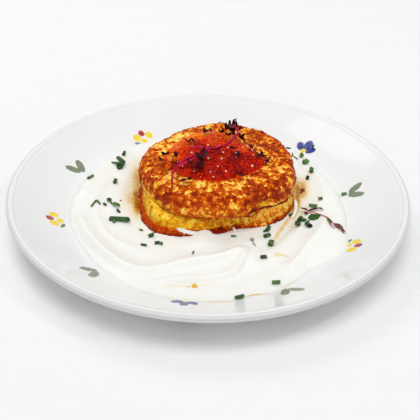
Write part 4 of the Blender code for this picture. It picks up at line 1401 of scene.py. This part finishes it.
# Chive threads: points in plan with their lift over the dish, and radius, in millimetres.
CHIVE_THREADS = (
    (((-82.8, -3.0, 0.2), (-81.0, 0.2, 1.0), (-78.8, 1.6, 1.3), (-76.2, -1.2, 0.3)), 0.75),
    (((-69.8, 3.0, 1.0), (-68.0, 0.6, 0.8), (-66.6, -1.0, 1.0)), 0.6),
    (((30.4, -38.2, 0.8), (31.0, -41.0, 0.5), (32.4, -44.0, 0.4)), 0.32),
)
# Sprig leaves on the cream: foot x and y, lift, length and width in millimetres, heading and lean in
# degrees, and tone.
SPRIG_LEAVES = (
    (70.8, -3.2, 1.2, 6.4, 2.2, 66, 8, 0.20), (70.4, -3.2, 1.0, 10.4, 2.2, -78, 12, 0.12),
    (77.5, -1.6, 2.2, 4.4, 1.4, -108, -6, 0.16), (69.6, -4.4, 0.8, 3.4, 2.2, 150, 10, 0.10),
    (70.0, -7.5, 0.6, 2.8, 1.8, 40, 20, 0.14), (69.6, -13.4, 1.2, 10.8, 6.6, -82, 6, 0.80),
    (87.0, -21.8, 0.9, 9.0, 3.8, -141, 4, 0.50), (82.0, -18.6, 0.9, 6.0, 1.8, -152, 6, 0.78),
    (82.6, -18.6, 0.9, 8.2, 1.6, -166, 4, 0.84), (91.5, -27.0, 0.8, 4.4, 1.8, -150, 0, 0.44),
)
# Sprig stems on the cream: points in plan with their lift and radius, in millimetres, and tone.
SPRIG_STEMS = (
    (((70.4, -3.4, 1.2), (74.6, -7.4, 1.6), (79.3, -13.2, 1.0), (83.2, -18.2, 0.9), (87.6, -23.8, 0.9),
      (93.2, -31.2, 0.4)), 0.34, 0.75),
    (((79.6, -13.6, 0.9), (82.0, -17.4, 0.8), (84.4, -24.2, 0.7), (86.8, -27.4, 0.5)), 0.24, 0.95),
    (((70.2, -4.6, 0.8), (72.4, -7.8, 1.2), (73.6, -10.2, 0.8)), 0.28, 0.9),
)
# Crumbs and drops of butter: x, y and radius in millimetres, and tone.
CRUMBS = ((68.6, 24.1, 1.5, 0.1), (67.4, 22.0, 1.0, 0.2), (69.3, 25.8, 0.8, 0.1), (-62.6, 6.6, 0.7, 0.6),
          (44.6, -41.6, 0.5, 0.5))
BUTTER_DROPS = ((-7.8, -89.3, 1.7, 0.9), (-11.6, -90.3, 0.6, 0.7))
CHIVE_GREENS = ((0.25, srgb(22, 50, 24)), (0.55, srgb(46, 84, 36)), (0.85, srgb(88, 124, 60)))
CRUMB_BROWNS = ((0.1, srgb(96, 24, 12)), (0.5, srgb(176, 84, 38)), (0.8, srgb(216, 130, 96)))
BUTTER_YELLOWS = ((0.3, srgb(214, 160, 30)), (0.7, srgb(250, 214, 90)))


def make_chive_finish():
    """Chive green with a waxy sheen, a little different from piece to piece."""
    material, shader, work = new_material("cut_chives", 0.38, IOR=1.42, Subsurface_Weight=0.12,
                                          Subsurface_Scale=0.0008)
    place = object_place(work)
    piece_tone = work.math("MULTIPLY", mask(work, "tone"), 0.5)
    shade = work.math("MULTIPLY_ADD", work.noise(place, 260.0, detail=2.0), 0.8, piece_tone)
    work.feed(shader.inputs["Base Color"], work.ramp(shade, CHIVE_GREENS))
    bump(work, shader, work.noise(place, 1400.0, detail=2.0), 0.1 * MM, 0.5)
    return material


def make_crumb_finish():
    """Rough crumbs, dark brown to reddish by their tone."""
    material, shader, work = new_material("fried_crumb", 0.5)
    speck = work.noise(object_place(work), 900.0, detail=3.0)
    shade = work.math("MULTIPLY_ADD", mask(work, "tone"), 0.8, work.math("MULTIPLY", speck, 0.3))
    work.feed(shader.inputs["Base Color"], work.ramp(shade, CRUMB_BROWNS))
    bump(work, shader, speck, 0.3 * MM, 0.6)
    return material


def make_butter_finish():
    """Glossy yellow butter."""
    material, shader, work = new_material("butter_drop", 0.06, IOR=1.46, Subsurface_Weight=0.3,
                                          Subsurface_Scale=0.001)
    cloud = work.noise(object_place(work), 500.0, detail=2.0)
    work.feed(shader.inputs["Base Color"], work.ramp(cloud, BUTTER_YELLOWS))
    return material


def laid_threads(ground, paths):
    """Threads for spin_threads from (points in plan with their lift, radius, tone), laid over the dish."""
    return [([over_dish(ground, *point) for point in path], radius * MM, tone)
            for path, radius, tone in paths]


def make_chives(ground):
    """Cut chives and a few fine threads, scattered over the dish."""
    finish = make_chive_finish()
    fixed = np.random.default_rng(29)
    places = []
    for x, y, length, across, heading, upright in CHIVES:
        stand = radians(upright)
        lift = (0.5 * across * cos(stand) + 0.5 * length * sin(stand)) * 0.85 * MM
        spot, _ = surface_at(ground, x, y)
        turn = (fixed.uniform(0.0, 6.0), -stand, radians(heading))
        size = (length * MM, 0.5 * across * MM, 0.42 * across * MM)
        places.append((spot + Vector((0.0, 0.0, lift)), turn, size, fixed.uniform(0.0, 1.0)))
    add_piece("chive_cuts", scatter("chive_cuts", tube_shape("chive"), places, finish))
    threads = laid_threads(ground, [(path, radius, 0.6) for path, radius in CHIVE_THREADS])
    add_piece("chive_threads", spin_threads("chive_threads", threads, finish))


def make_loose_sprig(ground, stem_finish, leaf_finish):
    """A sprig of cress that lies on the cream at the right."""
    places = []
    for x, y, lift, length, width, heading, lean, tone in SPRIG_LEAVES:
        places.append((over_dish(ground, x, y, lift), (radians(lean), 0.0, radians(heading)),
                       (width * MM, length * MM, length * 0.5 * MM), tone))
    shape = leaf_shape("sprig_leaf", cup=0.18, curl=-0.12, stations=13)
    add_piece("loose_sprig_leaves", scatter("loose_sprig_leaves", shape, places, leaf_finish))
    threads = laid_threads(ground, SPRIG_STEMS)
    add_piece("loose_sprig_stems", spin_threads("loose_sprig_stems", threads, stem_finish))


def make_crumbs_and_drops(ground):
    """Crumbs of the crust and flat drops of butter on the cream."""
    crumb_finish, butter_finish = make_crumb_finish(), make_butter_finish()
    for name, rows, flatness, finish in (("fried_crumbs", CRUMBS, 0.7, crumb_finish),
                                         ("butter_drops", BUTTER_DROPS, 0.35, butter_finish)):
        places = [(over_dish(ground, x, y, 0.3 * radius), (0.0, 0.0, x),
                   (radius * 1.15 * MM, radius * MM, radius * flatness * MM), tone)
                  for x, y, radius, tone in rows]
        add_piece(name, scatter(name, lump_shape(name), places, finish))


# Smears of cream that the lower pancake picked up: points and radius in millimetres.
CREAM_SMEARS = (
    (((-23.5, -24.0, 12.4), (-19.0, -27.0, 11.6), (-13.0, -29.6, 10.8), (-5.0, -31.0, 10.6),
      (3.0, -31.0, 10.4)), 2.3),
    (((-21.0, -25.4, 13.2), (-18.6, -26.6, 12.6), (-16.0, -28.4, 11.8)), 1.3),
    (((17.4, -24.4, 13.0), (18.6, -26.4, 11.6), (19.2, -28.4, 10.2)), 0.9),
    (((62.0, 8.0, 14.6), (62.4, 2.6, 13.4), (61.4, -3.0, 11.2), (59.0, -8.0, 9.8)), 1.4),
)


def make_cream_smears(cream):
    """Smears of cream on the lower pancake's edge."""
    threads = [([Vector(point) * MM for point in path], radius * MM, 0.0) for path, radius in CREAM_SMEARS]
    smears = spin_threads("cream_smears", threads, cream.data.materials[0])
    add_piece("cream_smears", smears)


# ---------------------------------------------------------------- studio

FLOOR_REACH = 3.0
FLOOR_WHITES = ((0.3, (0.86, 0.865, 0.875)), (0.7, (0.875, 0.88, 0.89)))
SKY_LIGHT = 0.50
SKY_WHITE = (1.0, 0.975, 0.935, 1.0)
KEY_LIGHT = 1.29
KEY_WHITE = (0.955, 0.985, 1.0)
KEY_SPREAD = 30.0               # how wide the key light looks from the dish, in degrees
KEY_LEAN = 15.0                 # how far it leans from straight overhead to the front, in degrees
KEY_HEADING = -10.0             # and to the side of the front, in degrees
FILL_LIGHT = 0.37
FILL_HEIGHT = 25.0              # how high the fill light stands over the floor in front, in degrees
FILL_SPREAD = 70.0
# A strip of light that the plate's wall mirrors at the back on the right.
STRIP_LIGHT = 0.76
STRIP_SIZE = (0.58, 0.28)
STRIP_MIRRORED_AT = Vector((0.095, 0.080, 0.025))
STRIP_TOWARDS = Vector((-0.489, 0.371, 0.789))
STRIP_ALONG = Vector((-0.312, 0.771, -0.556))
STRIP_DISTANCE = 1.2
# A softbox behind the dish and a small lamp at its right.
SOFTBOX_LIGHT = 2.0
SOFTBOX_SIZE = (0.60, 0.50)
SOFTBOX_PLACE = Vector((-0.42, 0.66, 1.22))
LAMP_LIGHT = 1.0
LAMP_WIDTH = 0.14
LAMP_PLACE = Vector((0.58, -0.22, 1.02))


def make_floor():
    """A plain pale floor."""
    mesh = bpy.data.meshes.new("floor")
    corners = [(x * FLOOR_REACH, y * FLOOR_REACH, 0.0) for x, y in ((-1, -1), (1, -1), (1, 1), (-1, 1))]
    mesh.from_pydata(corners, [], [(0, 1, 2, 3)])
    floor = bpy.data.objects.new("floor", mesh)
    bpy.context.scene.collection.objects.link(floor)
    material, shader, work = new_material("pale_paper", 0.7)
    grain = work.noise(object_place(work), 60.0, detail=2.0)
    work.feed(shader.inputs["Base Color"], work.ramp(grain, FLOOR_WHITES))
    mesh.materials.append(material)


def make_sky():
    """A soft white sky."""
    scene = bpy.context.scene
    scene.view_settings.view_transform = "Standard"
    world = bpy.data.worlds.new("soft_sky")
    world.use_nodes = True
    background = world.node_tree.nodes["Background"]
    background.inputs["Strength"].default_value = SKY_LIGHT
    background.inputs["Color"].default_value = SKY_WHITE
    scene.world = world


def hang_light(name, kind, place, turn=None, mirrored=True, **settings):
    """A light at a place, turned to shine on the middle of the dish unless its turn is given."""
    data = bpy.data.lights.new(name, kind)
    for key, value in settings.items():
        setattr(data, key, value)
    light = bpy.data.objects.new(name, data)
    light.location = place
    light.rotation_euler = turn or place.to_track_quat("Z", "Y").to_euler()
    light.visible_glossy = mirrored
    bpy.context.scene.collection.objects.link(light)


def hang_lights():
    """A broad key light overhead and a fill light in front, with the softbox, the strip and the lamp."""
    heading = radians(KEY_HEADING)
    key_from = Vector((sin(heading), -cos(heading), 1.0 / math.tan(radians(KEY_LEAN))))
    hang_light("key_light", "SUN", key_from, mirrored=False, energy=KEY_LIGHT, color=KEY_WHITE,
               angle=radians(KEY_SPREAD))
    fill_from = Vector((0.0, -1.0, math.tan(radians(FILL_HEIGHT))))
    hang_light("front_fill", "SUN", fill_from, energy=FILL_LIGHT, angle=radians(FILL_SPREAD))
    towards, along = STRIP_TOWARDS.normalized(), STRIP_ALONG.normalized()
    across = towards.cross(along).normalized()
    turn = Matrix((across.cross(towards), across, towards)).transposed().to_euler()
    hang_light("back_strip", "AREA", STRIP_MIRRORED_AT + STRIP_DISTANCE * towards, turn, shape="RECTANGLE",
               size=STRIP_SIZE[0], size_y=STRIP_SIZE[1], energy=STRIP_LIGHT)
    hang_light("back_softbox", "AREA", SOFTBOX_PLACE, mirrored=False, shape="RECTANGLE",
               size=SOFTBOX_SIZE[0], size_y=SOFTBOX_SIZE[1], energy=SOFTBOX_LIGHT)
    hang_light("side_lamp", "AREA", LAMP_PLACE, shape="DISK", size=LAMP_WIDTH, energy=LAMP_LIGHT)


CAMERA_PLACE = (0.0, -0.5706, 0.3999)
CAMERA_AIM = Vector((0.00125, -0.0289, PLATE_TOP))
CAMERA_TILT = 1.1               # how far it leans to the side, in degrees
CAMERA_SENSOR = 36.0
CAMERA_LENS = 83.35


def make_camera():
    """The camera looks down on the dish from the serving side."""
    data = bpy.data.cameras.new("camera")
    data.sensor_width = CAMERA_SENSOR
    data.lens = CAMERA_LENS
    camera = bpy.data.objects.new("camera", data)
    camera.location = CAMERA_PLACE
    level = (CAMERA_AIM - camera.location).to_track_quat("-Z", "Y")
    camera.rotation_euler = (level @ Quaternion((0.0, 0.0, 1.0), radians(CAMERA_TILT))).to_euler()
    bpy.context.scene.collection.objects.link(camera)
    bpy.context.scene.camera = camera


make_floor()
make_sky()
hang_lights()
make_camera()
plate_piece = make_plate()
cream_piece = make_cream()
upper_piece, lower_piece = make_pancakes()
make_cream_smears(cream_piece)
roe_piece = make_roe(upper_piece)
stem_finish = make_cress_finish("cress_stem", STEM_TONES, 0.7, 0.1 * MM, 0.4)
leaf_finish = make_cress_finish("cress_leaf", LEAF_TONES, 0.10, 0.15 * MM, 0.5)
ground = search_trees((plate_piece, cream_piece, lower_piece, upper_piece, roe_piece))
make_cress(ground, stem_finish, leaf_finish)
make_chives(ground)
make_loose_sprig(ground, stem_finish, leaf_finish)
make_crumbs_and_drops(ground)
